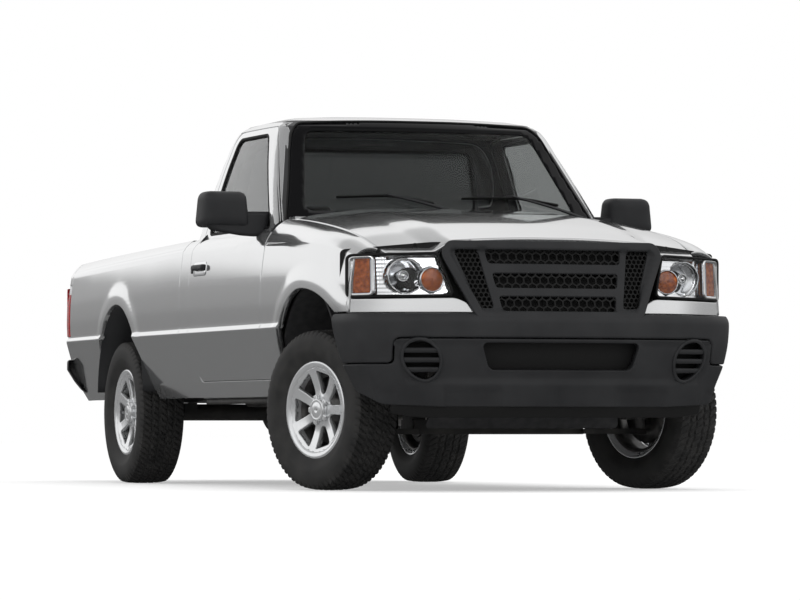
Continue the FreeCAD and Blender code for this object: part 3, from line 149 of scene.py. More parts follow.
# %% Lamps
def soft_lamp(name, place, target, width, length, watts):
    """A flat lamp of width by length that faces its target."""
    data = bpy.data.lights.new(name, "AREA")
    data.shape = "RECTANGLE"
    data.size = width
    data.size_y = length
    data.energy = watts
    lamp = bpy.data.objects.new(name, data)
    lamp.location = place
    lamp.rotation_euler = (Vector(target) - Vector(place)).to_track_quat("-Z", "Y").to_euler()
    lamp.visible_glossy = False
    bpy.context.scene.collection.objects.link(lamp)
    return lamp


soft_lamp("overhead", (1.5, 0.5, 5.5), (0, 0, 0.8), 5.0, 8.0, 150.0)
soft_lamp("front_fill", (-4.0, -9.0, 4.0), (0, -1.5, 0.8), 4.0, 3.0, 60.0)
print("lamps", len(bpy.data.lights))


# %% [markdown]
# The floor is a sheet of white. Its diffuse part takes the truck's shadow, and a share of plain white
# light, seen by the camera, keeps the rest of it as pale as the backdrop. In reflections it is one with
# the grey walls. Neither floor nor world is sampled as a lamp, because to a lamp's ray both would show
# another grey than to a mirror's.

# %% Floor
def floor_material():
    """White that shows shadow: a mix of a matte surface and plain white light, and grey in reflections."""
    material = bpy.data.materials.new("floor_white")
    material.use_nodes = True
    tree = material.node_tree
    tree.nodes.clear()
    matte = add_node(tree, "BsdfDiffuse", {"Color": (0.95, 0.95, 0.95, 1)}).outputs[0]
    glow = add_node(tree, "Emission", {"Strength": 1.15}).outputs[0]
    grey = add_node(tree, "Emission", {"Color": (0.13, 0.13, 0.13, 1)}).outputs[0]
    rays = add_node(tree, "LightPath").outputs
    share = add_node(tree, "Math", {0: rays["Is Camera Ray"], 1: 0.34}, operation="MULTIPLY").outputs[0]
    seen = add_node(tree, "MixShader", {0: share, 1: matte, 2: glow}).outputs[0]
    mix = add_node(tree, "MixShader", {0: rays["Is Glossy Ray"], 1: seen, 2: grey}).outputs[0]
    add_node(tree, "OutputMaterial", {"Surface": mix})
    return material


FLOOR_HALF = 60.0
floor_mesh = bpy.data.meshes.new("floor")
floor_mesh.from_pydata([(-FLOOR_HALF, -FLOOR_HALF, 0), (FLOOR_HALF, -FLOOR_HALF, 0),
                        (FLOOR_HALF, FLOOR_HALF, 0), (-FLOOR_HALF, FLOOR_HALF, 0)], [], [(0, 1, 2, 3)])
floor = bpy.data.objects.new("floor", floor_mesh)
bpy.context.scene.collection.objects.link(floor)
floor.data.materials.append(floor_material())
floor.data.materials[0].cycles.emission_sampling = "NONE"
floor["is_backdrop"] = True
print("floor half width in metres", FLOOR_HALF)

# %% [markdown]
# ## Finishes
# Each finish is a small node tree. A number that is the same all over a surface sits on the shader's own
# socket, and what varies, such as metal flake or the grain of a moulding, comes from noise in object
# coordinates, so that it stays on the piece when the piece moves.


# %% Material helpers
def finish(name, color, metallic=0.0, roughness=0.5, coat=0.0, coat_roughness=0.03, specular=0.5, ior=1.5,
           transmission=0.0, sheen=0.0):
    """A principled surface with its even values set on the shader's own sockets."""
    material = bpy.data.materials.new(name)
    material.use_nodes = True
    values = {"Base Color": (*color, 1), "Metallic": metallic, "Roughness": roughness, "Coat Weight": coat,
              "Coat Roughness": coat_roughness, "Specular IOR Level": specular, "IOR": ior,
              "Transmission Weight": transmission, "Sheen Weight": sheen}
    for key, value in values.items():
        material.node_tree.nodes["Principled BSDF"].inputs[key].default_value = value
    return material


def feed(material, socket, name):
    """Links a socket to one input of the material's shader."""
    tree = material.node_tree
    tree.links.new(socket, tree.nodes["Principled BSDF"].inputs[name])


def noise(material, scale, detail=3.0, roughness=0.5):
    """Noise in object coordinates."""
    place = add_node(material.node_tree, "TexCoord").outputs["Object"]
    return add_node(material.node_tree, "TexNoise", {"Scale": scale, "Detail": detail, "Roughness": roughness,
                                                     "Vector": place}).outputs["Fac"]


def vary_color(material, fac, dark, light, low=0.3, high=0.7):
    """The base colour runs from dark to light with a factor."""
    ramp = add_node(material.node_tree, "ValToRGB", {"Fac": fac})
    for element, position, color in zip(ramp.color_ramp.elements, (low, high), (dark, light)):
        element.position, element.color = position, (*color, 1)
    feed(material, ramp.outputs["Color"], "Base Color")


def vary_roughness(material, fac, low, high):
    """Roughness runs from low to high with a factor."""
    span = add_node(material.node_tree, "MapRange", {"To Min": low, "To Max": high, "Value": fac})
    feed(material, span.outputs["Result"], "Roughness")


def grain(material, fac, strength, distance):
    """Fine relief from a factor."""
    bump = add_node(material.node_tree, "Bump", {"Strength": strength, "Distance": distance, "Height": fac})
    feed(material, bump.outputs["Normal"], "Normal")


# %% [markdown]
# Metallic paint is bright flakes under a clear coat. The flake is a very fine noise in the colour, too
# small to see one by one at this distance, and the coat over it is smooth and mirrors the room.

# %% Paint
paint = finish("silver_paint", (0.6, 0.61, 0.62), metallic=0.9, roughness=0.15, coat=1.0, coat_roughness=0.02)
flake = noise(paint, 900.0, detail=1.0)
vary_color(paint, flake, (0.738, 0.744, 0.75), (0.75, 0.756, 0.762), 0.35, 0.65)
vary_roughness(paint, noise(paint, 12.0), 0.1, 0.14)

# %% Mouldings, rubber and steel
charcoal = finish("charcoal_moulding", (0.02, 0.0205, 0.022), roughness=0.5, specular=0.3)
fine = noise(charcoal, 700.0, detail=2.0)
vary_color(charcoal, noise(charcoal, 6.0), (0.016, 0.0165, 0.018), (0.023, 0.0235, 0.025))
vary_roughness(charcoal, fine, 0.42, 0.58)
grain(charcoal, fine, 0.25, 0.0006)

# Near black for rubber seals, the chin, the grille's mesh and the wiper blades, and also for the boards set
# behind grille, nose and intake, which are painted shade in those openings.
seal_and_shade_black = finish("black_seal_and_shade", (0.008, 0.008, 0.008), roughness=0.7, specular=0.3)
vary_roughness(seal_and_shade_black, noise(seal_and_shade_black, 300.0), 0.6, 0.8)

rubber = finish("tyre_rubber", (0.018, 0.018, 0.018), roughness=0.62, specular=0.4)
dust = noise(rubber, 14.0, detail=4.0)
vary_color(rubber, dust, (0.013, 0.013, 0.013), (0.027, 0.026, 0.025))
vary_roughness(rubber, dust, 0.55, 0.75)
grain(rubber, noise(rubber, 500.0), 0.2, 0.0004)

alloy = finish("polished_alloy", (0.78, 0.79, 0.8), metallic=0.7, roughness=0.16, coat=0.6)
vary_roughness(alloy, noise(alloy, 60.0), 0.12, 0.22)
vary_color(alloy, noise(alloy, 200.0, 1.0), (0.77, 0.78, 0.79), (0.79, 0.8, 0.81))

chrome = finish("bright_chrome", (0.86, 0.87, 0.88), metallic=1.0, roughness=0.06)
vary_roughness(chrome, noise(chrome, 30.0), 0.04, 0.1)

steel = finish("frame_black", (0.02, 0.02, 0.021), metallic=0.1, roughness=0.5)
vary_color(steel, noise(steel, 9.0, 5.0), (0.012, 0.012, 0.012), (0.035, 0.033, 0.03))
vary_roughness(steel, noise(steel, 40.0), 0.42, 0.66)
print("materials", len(bpy.data.materials))


# %% [markdown]
# Most nodes of the model keep their own mesh and only need a finish. The slot that each one names in the
# record says which.

# %% Finishes for the model's own pieces
iron = finish("cast_iron", (0.14, 0.14, 0.145), metallic=0.6, roughness=0.6)
vary_color(iron, noise(iron, 70.0), (0.1, 0.1, 0.102), (0.19, 0.185, 0.18))
vary_roughness(iron, noise(iron, 30.0), 0.5, 0.7)
casing = finish("cast_aluminium", (0.36, 0.37, 0.38), metallic=0.85, roughness=0.5)
vary_color(casing, noise(casing, 60.0), (0.3, 0.3, 0.31), (0.42, 0.43, 0.44))
vary_roughness(casing, noise(casing, 40.0), 0.42, 0.6)
pipe_steel = finish("dull_pipe_steel", (0.34, 0.33, 0.32), metallic=0.95, roughness=0.42)
vary_color(pipe_steel, noise(pipe_steel, 9.0), (0.24, 0.23, 0.22), (0.4, 0.39, 0.38))
vary_roughness(pipe_steel, noise(pipe_steel, 30.0), 0.34, 0.5)
liner = finish("liner_plastic", (0.025, 0.025, 0.026), roughness=0.85, specular=0.2)
vary_color(liner, noise(liner, 30.0), (0.02, 0.02, 0.021), (0.032, 0.032, 0.033))
vary_roughness(liner, noise(liner, 60.0), 0.78, 0.92)
dash_vinyl = finish("grained_dash", (0.05, 0.05, 0.053), roughness=0.7, specular=0.25)
grain(dash_vinyl, noise(dash_vinyl, 380.0), 0.4, 0.001)
vary_color(dash_vinyl, noise(dash_vinyl, 30.0), (0.045, 0.045, 0.047), (0.056, 0.056, 0.058))
vary_roughness(dash_vinyl, noise(dash_vinyl, 40.0), 0.64, 0.76)

BY_SLOT = {"body_paint": paint, "charcoal_moulding": charcoal, "window_glass": seal_and_shade_black,
           "lamp_housing": chrome, "tail_lens": seal_and_shade_black, "bumper_steel": charcoal, "frame_paint": steel,
           "castings": iron, "gear_casing": casing, "plain_steel": pipe_steel, "tyre_rubber": rubber,
           "wheel_alloy": alloy, "liner_plastic": liner, "seat_cloth": charcoal, "dash_plastic": dash_vinyl}


def dress(node, material):
    """One finish on every slot of a node's mesh."""
    mesh = nodes[node].data
    if not mesh.materials:
        mesh.materials.append(material)
    for index in range(len(mesh.materials)):
        mesh.materials[index] = material


for row in frame["record"]["subparts"]:
    dress(row["node"], BY_SLOT[row["material_slot"]])

# %% [markdown]
# ## Tools for surfaces
# A body maker draws a truck as a few long sections and one profile across them. So every surface here is
# a function of two numbers that returns a point. These helpers turn such functions into meshes, with whole
# arrays of numbers at once.


# %% Smooth curves and creased lines
def through(knots, values, at):
    """A smooth curve through points that never overshoots: between two knots a cubic, whose slope at a knot
    is the harmonic mean of the slopes on both sides, and level where they differ in sign."""
    knots, values, at = np.asarray(knots, float), np.asarray(values, float), np.asarray(at, float)
    gaps = np.diff(knots)
    wide = gaps.reshape((-1,) + (1,) * (values.ndim - 1))
    rise = np.diff(values, axis=0) / wide
    slope = np.zeros_like(values)
    same = rise[:-1] * rise[1:] > 0
    total = np.where(same, rise[:-1] + rise[1:], 1.0)
    slope[1:-1] = np.where(same, 2 * rise[:-1] * rise[1:] / total, 0.0)
    slope[0], slope[-1] = rise[0], rise[-1]
    index = np.clip(np.searchsorted(knots, at, side="right") - 1, 0, len(knots) - 2)
    t = np.clip((at - knots[index]) / gaps[index], 0, 1)
    pick = (index,) if values.ndim == 1 else (index, np.arange(len(at)))
    after = (index + 1,) if values.ndim == 1 else (index + 1, np.arange(len(at)))
    run = gaps[index]
    return (values[pick] * (1 + 2 * t) * (1 - t) ** 2 + slope[pick] * run * t * (1 - t) ** 2
            + values[after] * t * t * (3 - 2 * t) - slope[after] * run * t * t * (1 - t))


def creased(knots, points, bows, at, radius):
    """A line of bowed runs between corner points, each corner rounded: the mean of the bowed line over
    a window of the given radius. A bow stands out from its run by its height, as a parabola."""
    points = np.asarray(points, float)
    total = np.zeros((len(at), 2))
    offsets = np.linspace(-1, 1, 9)
    for offset in offsets:
        q = at + offset * radius
        index = np.clip(np.searchsorted(knots, q, side="right") - 1, 0, len(knots) - 2)
        t = (q - knots[index]) / (knots[index + 1] - knots[index])
        start, chord = points[index], points[index + 1] - points[index]
        across = np.stack([chord[:, 1], -chord[:, 0]], 1)
        across /= np.linalg.norm(across, axis=1)[:, None]
        total += start + chord * t[:, None] + across * (bows[index] * 4 * t * (1 - t))[:, None]
    return total / len(offsets)


def rounded(points, radius, step=8.0):
    """A closed outline with round corners: straight runs in even steps, and a curve in place of each corner
    that leaves one side and joins the next, both at the radius from the corner."""
    points = np.asarray(points, float)
    radii = np.atleast_1d(np.asarray(radius, float))
    if 2 * len(radii) == len(points):
        radii = np.concatenate([radii, radii[::-1]])
    radii = np.broadcast_to(radii, len(points))
    before, after = np.roll(points, 1, 0), np.roll(points, -1, 0)
    to_before, to_after = before - points, after - points
    far_before, far_after = np.linalg.norm(to_before, axis=1), np.linalg.norm(to_after, axis=1)
    reach = np.minimum(radii, 0.48 * np.minimum(far_before, far_after))[:, None]
    first = points + to_before / far_before[:, None] * reach
    last = points + to_after / far_after[:, None] * reach
    line = []
    for index in range(len(points)):
        turn = max(2, int(reach[index, 0] / 2.5))
        t = np.linspace(0, 1, turn + 1)[:, None]
        line.append((1 - t) ** 2 * first[index] + 2 * t * (1 - t) * points[index] + t * t * last[index])
        target = first[(index + 1) % len(points)]
        count = max(1, int(np.linalg.norm(target - last[index]) / step))
        t = np.arange(1, count)[:, None] / count
        line.append(last[index] + (target - last[index]) * t)
    return np.concatenate(line)


def within(points, outline):
    """True for each point inside a closed outline: its level line crosses the outline an odd number of times
    on the right."""
    x, y = points[:, 0][:, None], points[:, 1][:, None]
    x1, y1 = outline[:, 0][None], outline[:, 1][None]
    x2, y2 = np.roll(outline[:, 0], -1)[None], np.roll(outline[:, 1], -1)[None]
    crosses = (y1 > y) != (y2 > y)
    rise = np.where(y2 == y1, 1e-9, y2 - y1)
    return (crosses & (x < (x2 - x1) * (y - y1) / rise + x1)).sum(1) % 2 == 1


def distance(points, outline):
    """The distance from each point to a closed outline: the least over its runs."""
    start, chord = outline, np.roll(outline, -1, 0) - outline
    square = np.maximum((chord ** 2).sum(1), 1e-9)
    best = np.full(len(points), 1e9)
    for low in range(0, len(points), 2000):
        part = points[low:low + 2000]
        away = part[:, None] - start[None]
        t = np.clip((away * chord[None]).sum(2) / square[None], 0, 1)
        best[low:low + 2000] = np.linalg.norm(away - chord[None] * t[..., None], axis=2).min(1)
    return best


def inwards(outline, amount):
    """An outline moved to its inner side: each point along the mean of its two sides' normals."""
    ahead = np.roll(outline, -1, 0) - np.roll(outline, 1, 0)
    ahead /= np.maximum(np.linalg.norm(ahead, axis=1), 1e-9)[:, None]
    area = (outline[:, 0] * np.roll(outline[:, 1], -1) - outline[:, 1] * np.roll(outline[:, 0], -1)).sum()
    return outline + np.stack([-ahead[:, 1], ahead[:, 0]], 1) * amount * (1 if area > 0 else -1)


# %% [markdown]
# A mesh is made from arrays of points and faces. Each piece names the material it wears and the body it rides
# on.


# %% Pieces from arrays
made = {}


def piece(name, points, faces, material, body="truck", slot="body_paint", smooth=True, solid=None):
    """One object from points in millimetres and lists of faces."""
    mesh = bpy.data.meshes.new(name)
    mesh.from_pydata((np.asarray(points, float) * MM).tolist(), [], [list(face) for face in faces])
    mesh.update()
    if smooth:
        mesh.polygons.foreach_set("use_smooth", np.ones(len(mesh.polygons), bool))
    mesh.materials.append(material)
    made[name] = thing = bpy.data.objects.new(name, mesh)
    bpy.context.scene.collection.objects.link(thing)
    if solid:
        shell = thing.modifiers.new("thickness", "SOLIDIFY")
        shell.thickness = abs(solid) * MM
        shell.offset = -1 if solid > 0 else 1
    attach(thing, body)
    return thing


def joined(*parts):
    """Several (points, faces) as one."""
    points, faces, base = [], [], 0
    for some, rows in parts:
        points.append(np.asarray(some, float))
        faces += [[index + base for index in face] for face in rows]
        base += len(some)
    return np.concatenate(points), faces


def mirrored(part):
    """The same (points, faces) on the truck's other side, its faces turned back outwards."""
    points, faces = part
    return np.asarray(points) * (-1, 1, 1), [list(face)[::-1] for face in faces]


BOTH_HANDS = (("left", lambda part: part), ("right", mirrored))


def grid(points, close_u=False, close_v=False):
    """Faces between the rows of an array of points of shape (rows, columns, 3)."""
    rows, columns = points.shape[:2]
    i, j = np.meshgrid(np.arange(rows if close_u else rows - 1),
                       np.arange(columns if close_v else columns - 1),
                       indexing="ij")
    i, j = i.ravel(), j.ravel()
    ni, nj = (i + 1) % rows, (j + 1) % columns
    faces = np.stack([i * columns + j, ni * columns + j, ni * columns + nj, i * columns + nj], 1)
    return points.reshape(-1, 3), faces.tolist()


# %% [markdown]
# A pressed panel is an outline on a surface. The outline is filled with triangles, its points are lifted
# onto the surface, and near its edge they sink on a quarter round, as the folded edge of sheet metal does.
# A flange then runs inwards from the edge, so that a gap between two panels looks deep.


# %% Panels
def normal_of(lift, u, v):
    """The surface's unit normal at (u, v), from the run of the surface over half a millimetre each way."""
    step = 0.5
    along = lift(u + step, v) - lift(u - step, v)
    up = lift(u, v + step) - lift(u, v - step)
    across = np.cross(along, up)
    return across / np.maximum(np.linalg.norm(across, axis=1), 1e-9)[:, None]


def panel(lift, outline, holes=(), step=12.0, rows=(), fold=3.0, flange=16.0, flip=False, sink=0.0):
    """A panel as (points, faces): lift(u, v) gives the surface, outline and holes are closed lines in (u, v),
    rows are v values that get points of their own, fold is the radius of the rounded edge."""
    lines = [np.asarray(outline, float)] + [np.asarray(hole, float) for hole in holes]
    low, high = lines[0].min(0), lines[0].max(0)
    across = np.arange(low[0] + step / 2, high[0], step)
    up = np.unique(np.concatenate([np.arange(low[1] + step / 2, high[1], step), np.asarray(rows, float)]))
    keep = np.ones(len(up), bool)
    for value in rows:
        keep &= (np.abs(up - value) > step * 0.35) | np.isin(up, rows)
    inner = np.stack(np.meshgrid(across, up[keep]), -1).reshape(-1, 2)
    clear = within(inner, lines[0])
    away = distance(inner, lines[0])
    for hole in lines[1:]:
        clear &= ~within(inner, hole)
        away = np.minimum(away, distance(inner, hole))
    rings = list(lines)
    for share in (0.3, 0.65, 1.0, 1.3) if fold else ():
        rings += [inwards(lines[0], fold * share)] + [inwards(hole, -fold * share) for hole in lines[1:]]
    inner = inner[clear & (away > (fold * 1.3 + step * 0.3))]
    points = np.concatenate(rings + [inner])
    edges, base = [], 0
    for line in lines:
        count = len(line)
        edges += [(base + index, base + (index + 1) % count) for index in range(count)]
        base += count
    flat, _, faces, *_ = delaunay_2d_cdt([Vector(point) for point in points.tolist()], edges, [], 0, 1e-4)
    flat = np.array([tuple(point) for point in flat])
    faces = np.array([face for face in faces if len(face) == 3])
    middle = flat[faces].mean(1)
    good = within(middle, lines[0])
    for hole in lines[1:]:
        good &= ~within(middle, hole)
    faces = faces[good]
    depth = np.full(len(flat), sink)
    if fold:
        gap = np.min([distance(flat, line) for line in lines], axis=0)
        near = np.clip(fold - gap, 0, fold)
        depth = depth + fold - np.sqrt(fold ** 2 - near ** 2)
    u, v = flat[:, 0], flat[:, 1]
    normal = normal_of(lift, u, v)
    sign = -1.0 if flip else 1.0
    place = lift(u, v) - normal * (depth * sign)[:, None]
    a, b, c = (flat[faces[:, k]] for k in range(3))
    turn = (b[:, 0] - a[:, 0]) * (c[:, 1] - a[:, 1]) - (b[:, 1] - a[:, 1]) * (c[:, 0] - a[:, 0])
    wrong = (turn < 0) != flip
    faces[wrong] = faces[wrong][:, ::-1]
    faces = faces.tolist()
    if flange:
        count = {}
        for face in faces:
            for k in range(3):
                edge = (face[k], face[(k + 1) % 3])
                count[edge] = True
        border = [edge for edge in count if (edge[1], edge[0]) not in count]
        used = sorted({index for edge in border for index in edge})
        lower = {index: len(place) + k for k, index in enumerate(used)}
        place = np.concatenate([place, place[used] - normal[used] * flange * sign])
        faces += [[first, lower[first], lower[second], second] for first, second in border]
    return place, faces


print("surface tools ready")

# %% [markdown]
# ## The body's form
# One profile, from the rocker's lower edge up to the belt, runs along the whole truck. Two creases cross the
# doors and the bed, and each is a small ledge that catches the light. Towards the ends the sides draw in.

# %% The side profile
ROCKER, ROCKER_CREASE, MID, LEDGE = 401.0, 473.0, 702.0, 718.0
SWELL, HIGH_SWELL, BELT, TOP = 800.0, 920.0, 1085.0, 1131.0
SIDE_HALF = {ROCKER: 760.0, ROCKER_CREASE: 805.0, MID: 880.0, LEDGE: 871.0, SWELL: 874.0, HIGH_SWELL: 871.0,
             BELT: 851.0, TOP: 803.0}
EDGE, FOOT, DOME, CROWN = 1245.0, 1430.0, 1560.0, 2000.0
DOOR_FRONT, DOOR_REAR, BED_FRONT, BED_END = -1002.0, 70.0, 217.0, 2314.0
FRONT_AXLE, REAR_AXLE = -1567.5, 1264.5
ARCH_HALF, ARCH_RISE, ARCH_CENTRE, ARCH_LEAD = 388.0, 420.0, 440.0, 595.0

# Stations of the front: y, draw of the sides, belt height, then half width and height of the hood's edge,
# the foot and the edge of its raised middle, and the height of its crown.
FRONT = [
    (-1008, 0, 1066, 742, 1184, 560, 1216, 440, 1230, 1240),
    (-1300, 0, 1060, 738, 1160, 552, 1192, 430, 1208, 1218),
    (-1600, 0, 1050, 732, 1124, 543, 1156, 425, 1176, 1186),
    (-1900, 12, 1022, 722, 1070, 533, 1100, 425, 1128, 1140),
    (-2093, 38, 985, 706, 1012, 520, 1040, 432, 1080, 1097),
    (-2290, 100, 930, 650, 950, 500, 978, 440, 1030, 1050),
    (-2430, 170, 880, 590, 892, 480, 920, 425, 985, 1006),
]


def side_points(draw, belt):
    """The profile's corner points from rocker to belt, its upper part scaled to the belt's height."""
    rows = []
    for height in (ROCKER, ROCKER_CREASE, MID, LEDGE, SWELL, HIGH_SWELL, BELT):
        z = height if height <= MID else MID + (height - MID) * (belt - MID) / (BELT - MID)
        rows.append((SIDE_HALF[height] - draw, z))
    return rows


# The front's profile goes on over the hood to its crown and a little past it.
front_knots = np.array([ROCKER, ROCKER_CREASE, MID, LEDGE, SWELL, HIGH_SWELL, BELT, EDGE, FOOT, DOME, CROWN,
                        2 * CROWN - DOME])
front_points, front_bows = [], []
for y, draw, belt, ex, ez, fx, fz, dx, dz, crown in FRONT:
    front_points.append(side_points(draw, belt) + [(ex, ez), (fx, fz), (dx, dz), (0, crown), (-dx, dz)])
    front_bows.append([0, 4, 0, 0, 0.5, 1, 17, 3, 0, (crown - dz) / 4, (crown - dz) / 4])
front_y = np.array([row[0] for row in FRONT], float)[::-1]
front_points = np.array(front_points, float)[::-1]
front_bows = np.array(front_bows, float)[::-1]

back_knots = np.array([ROCKER, ROCKER_CREASE, MID, LEDGE, SWELL, HIGH_SWELL, BELT, TOP])
back_y, back_points = [], []
back_rows = [(DOOR_FRONT, 0, 1068, 1131), (BED_FRONT - 5, 0, 1085, 1131)]
back_rows += [(BED_FRONT + (BED_END - BED_FRONT) * s, 52 * s ** 3, 1085 - 46 * s, 1131 - 42 * s)
              for s in (0.0, 0.25, 0.5, 0.75, 0.9, 1.0)]
for y, draw, belt, top in back_rows:
    back_y.append(y)
    back_points.append(side_points(draw, belt) + [(SIDE_HALF[TOP] - draw, top)])
back_y, back_points = np.array(back_y), np.array(back_points)
back_bows = np.array([0, 4, 0, 0, 0.5, 1, 2.0])


def rounding(q):
    """Corner radius along the profile: sharp at the ledges, soft above the belt."""
    return np.interp(q, [ROCKER, 600, LEDGE, 760, BELT - 40, BELT + 30, EDGE - 30, EDGE + 60, DOME + 200],
                     [6, 6, 5, 14, 9, 12, 10, 16, 16])


def flare(y, z):
    """How far the fender stands out round a wheel: 7 mm at the lip, an upright face of 26 mm, and then
    a fall over 75 mm that tilts up enough to catch the light."""
    out = np.zeros_like(y)
    for axle, lead in ((FRONT_AXLE, ARCH_LEAD), (REAR_AXLE, ARCH_HALF)):
        half = np.where(y < axle, lead, ARCH_HALF)
        reach = np.hypot((y - axle) / half, np.maximum(z - ARCH_CENTRE, 0) / ARCH_RISE)
        away = (reach - 1) * 400
        share = np.clip(1 - (away - 26) / 75, 0, 1)
        fade = np.clip((z - 520) / 200, 0, 1)
        out += 7 * share * share * (3 - 2 * share) * fade * fade * (3 - 2 * fade)
    return out


def body(y, q):
    """The left side's point at y and at profile height q: the profile of each station there, joined along
    the truck by a smooth curve."""
    y, q = np.asarray(y, float), np.asarray(q, float)
    radius = rounding(q)
    ahead = y < -1005.0
    place = np.zeros((len(y), 2))
    if ahead.any():
        rows = [creased(front_knots, points, bows, q[ahead], radius[ahead])
                for points, bows in zip(front_points, front_bows)]
        place[ahead] = np.stack([through(front_y, [row[:, k] for row in rows], y[ahead]) for k in (0, 1)], 1)
    if (~ahead).any():
        rows = [creased(back_knots, points, back_bows, q[~ahead], radius[~ahead]) for points in back_points]
        place[~ahead] = np.stack([through(back_y, [row[:, k] for row in rows], y[~ahead]) for k in (0, 1)], 1)
    place[:, 0] += np.where(q < BELT + 40, flare(y, place[:, 1]), 0)
    place[:, 0] -= 3.5 * np.exp(-((q - BELT - 3) / 3.5) ** 2) * np.clip((y + 1450) / 300, 0, 1)
    return np.stack([place[:, 0], y, place[:, 1]], 1)


def profile_height(y, z):
    """The profile height q of a real height z below the belt at y."""
    belt = through(np.r_[front_y, back_y], np.r_[front_points[:, 6, 1], back_points[:, 6, 1]],
                   np.asarray(y, float))
    return np.where(z <= MID, z, MID + (z - MID) * (BELT - MID) / (belt - MID))


SIDE_ROWS = (ROCKER_CREASE - 5, ROCKER_CREASE, ROCKER_CREASE + 5, MID - 5, MID, MID + 4, LEDGE - 4, LEDGE,
             LEDGE + 5, BELT - 9, BELT - 4, BELT - 0.5, BELT + 3, BELT + 6.5, BELT + 10)


def wheel_opening(axle, low, first, last, lead=ARCH_HALF):
    """The edge of a wheel opening in (y, z), from its rear foot over the top to its front foot."""
    angle = np.linspace(0, np.pi, 61)
    half = np.where(np.cos(angle) > 0, ARCH_HALF, lead)
    line = np.stack([axle + half * np.cos(angle), ARCH_CENTRE + ARCH_RISE * np.sin(angle)], 1)
    return line[(line[:, 1] >= low) & (line[:, 0] >= first) & (line[:, 0] <= last)]


# %% Fenders
GAP = 2.5
FENDER_FRONT = -2093.0
BUMPER_TOP = 748.0
lead_y = FRONT_AXLE - ARCH_LEAD * math.sqrt(1 - ((BUMPER_TOP - ARCH_CENTRE) / ARCH_RISE) ** 2)
opening = wheel_opening(FRONT_AXLE, ARCH_CENTRE, lead_y, 0, ARCH_LEAD)
opening = opening[(opening[:, 0] > FRONT_AXLE) | (opening[:, 1] > BUMPER_TOP)]
edge_line = np.linspace(FENDER_FRONT, -1010.0, 60)
fender_outline = np.concatenate([
    [(-1010.0, ROCKER + 2), (FRONT_AXLE + ARCH_HALF, ROCKER + 2)],
    np.stack([opening[:, 0], profile_height(opening[:, 0], opening[:, 1])], 1),
    [(lead_y, profile_height([lead_y], BUMPER_TOP)[0]),
     (FENDER_FRONT, profile_height([FENDER_FRONT], BUMPER_TOP)[0])],
    np.stack([edge_line, np.full(60, EDGE - GAP)], 1),
])


def spaced(outline, step=10.0):
    """The same closed outline with points no further apart than a step."""
    line = []
    for start, end in zip(outline, np.roll(outline, -1, 0)):
        count = max(1, int(math.ceil(np.linalg.norm(end - start) / step)))
        line.append(start + (end - start) * (np.arange(count)[:, None] / count))
    return np.concatenate(line)


fender = panel(body, spaced(fender_outline), step=17.0, rows=SIDE_ROWS + (EDGE - 40, EDGE - 20), flange=24.0)
for hand, turn in BOTH_HANDS:
    piece("fender_skin_" + hand, *turn(fender), paint, solid=1.2)
    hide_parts("fender_" + hand)
print("fender points", len(fender[0]))

# %% Hood
LEAD_X = (0.0, 440.0, 500.0, 712.0)
LEAD_Y = (-2250.0, -2232.0, -2222.0, -2150.0)


def hood_q(x, y):
    """The profile height of a place on the hood's left half at half width x."""
    table = [through(front_y, front_points[:, k, 0], y) for k in (7, 8, 9, 10)]
    heights = (EDGE, FOOT, DOME, CROWN)
    out = np.full_like(x, EDGE)
    for k in range(3):
        share = np.clip((table[k] - x) / (table[k] - table[k + 1]), 0, 1)
        out = np.where(x <= table[k], heights[k] + share * (heights[k + 1] - heights[k]), out)
    return out


lead_x = np.linspace(706.0, 0.0, 60)
lead_line = through(LEAD_X, LEAD_Y, lead_x)
half_line = np.concatenate([
    np.stack([np.linspace(-1080.0, -2120.0, 90), np.full(90, EDGE + GAP)], 1),
    np.stack([lead_line, np.maximum(hood_q(lead_x, lead_line), EDGE + GAP)], 1),
])
hood_outline = np.concatenate([half_line, (half_line * (1, -1) + (0, 2 * CROWN))[::-1][1:]])


def hood_surface(y, q):
    """The whole hood: past the crown the left half's point is mirrored."""
    over = q > CROWN
    place = body(y, np.where(over, 2 * CROWN - q, q))
    place[:, 0] = np.where(over, -place[:, 0], place[:, 0])
    return place


HOOD_ROWS = [EDGE + 20] + [q + beside for q in (FOOT, DOME, 2 * CROWN - DOME, 2 * CROWN - FOOT)
                           for beside in (-16, 0, 16)]
hood = panel(hood_surface, spaced(hood_outline), step=20.0, fold=7.0, flange=26.0, rows=HOOD_ROWS)
piece("hood_skin", *hood, paint, body="hood", solid=1.2)
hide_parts("hood")
print("hood points", len(hood[0]))

# %% [markdown]
# ## Doors
# A door's outer skin goes from the rocker to the roof in one piece, with the window's opening in it. Above
# the sill it follows the greenhouse, whose levels shrink towards the roof. So one function of y and z joins
# the profile below and the greenhouse above.

# %% The greenhouse side
# Levels: z, half width, then x and y of the windshield's corner, y of its middle and y of the rear wall.
LEVELS = np.array([
    (1131, 799, 752, -968, -1094, 215), (1254, 767, 712, -867, -984, 194), (1377, 730, 671, -766, -874, 180),
    (1500, 688, 629, -665, -761, 156), (1622, 634, 582, -565, -645, 118), (1649, 596, 548, -520, -600, 92),
], float)
CORNER_RUN, REAR_ROUND, BOW_OUT = 60.0, 70.0, 8.0


def level(z, column):
    """One measure of the greenhouse at height z."""
    return through(LEVELS[:, 0], LEVELS[:, column], z)


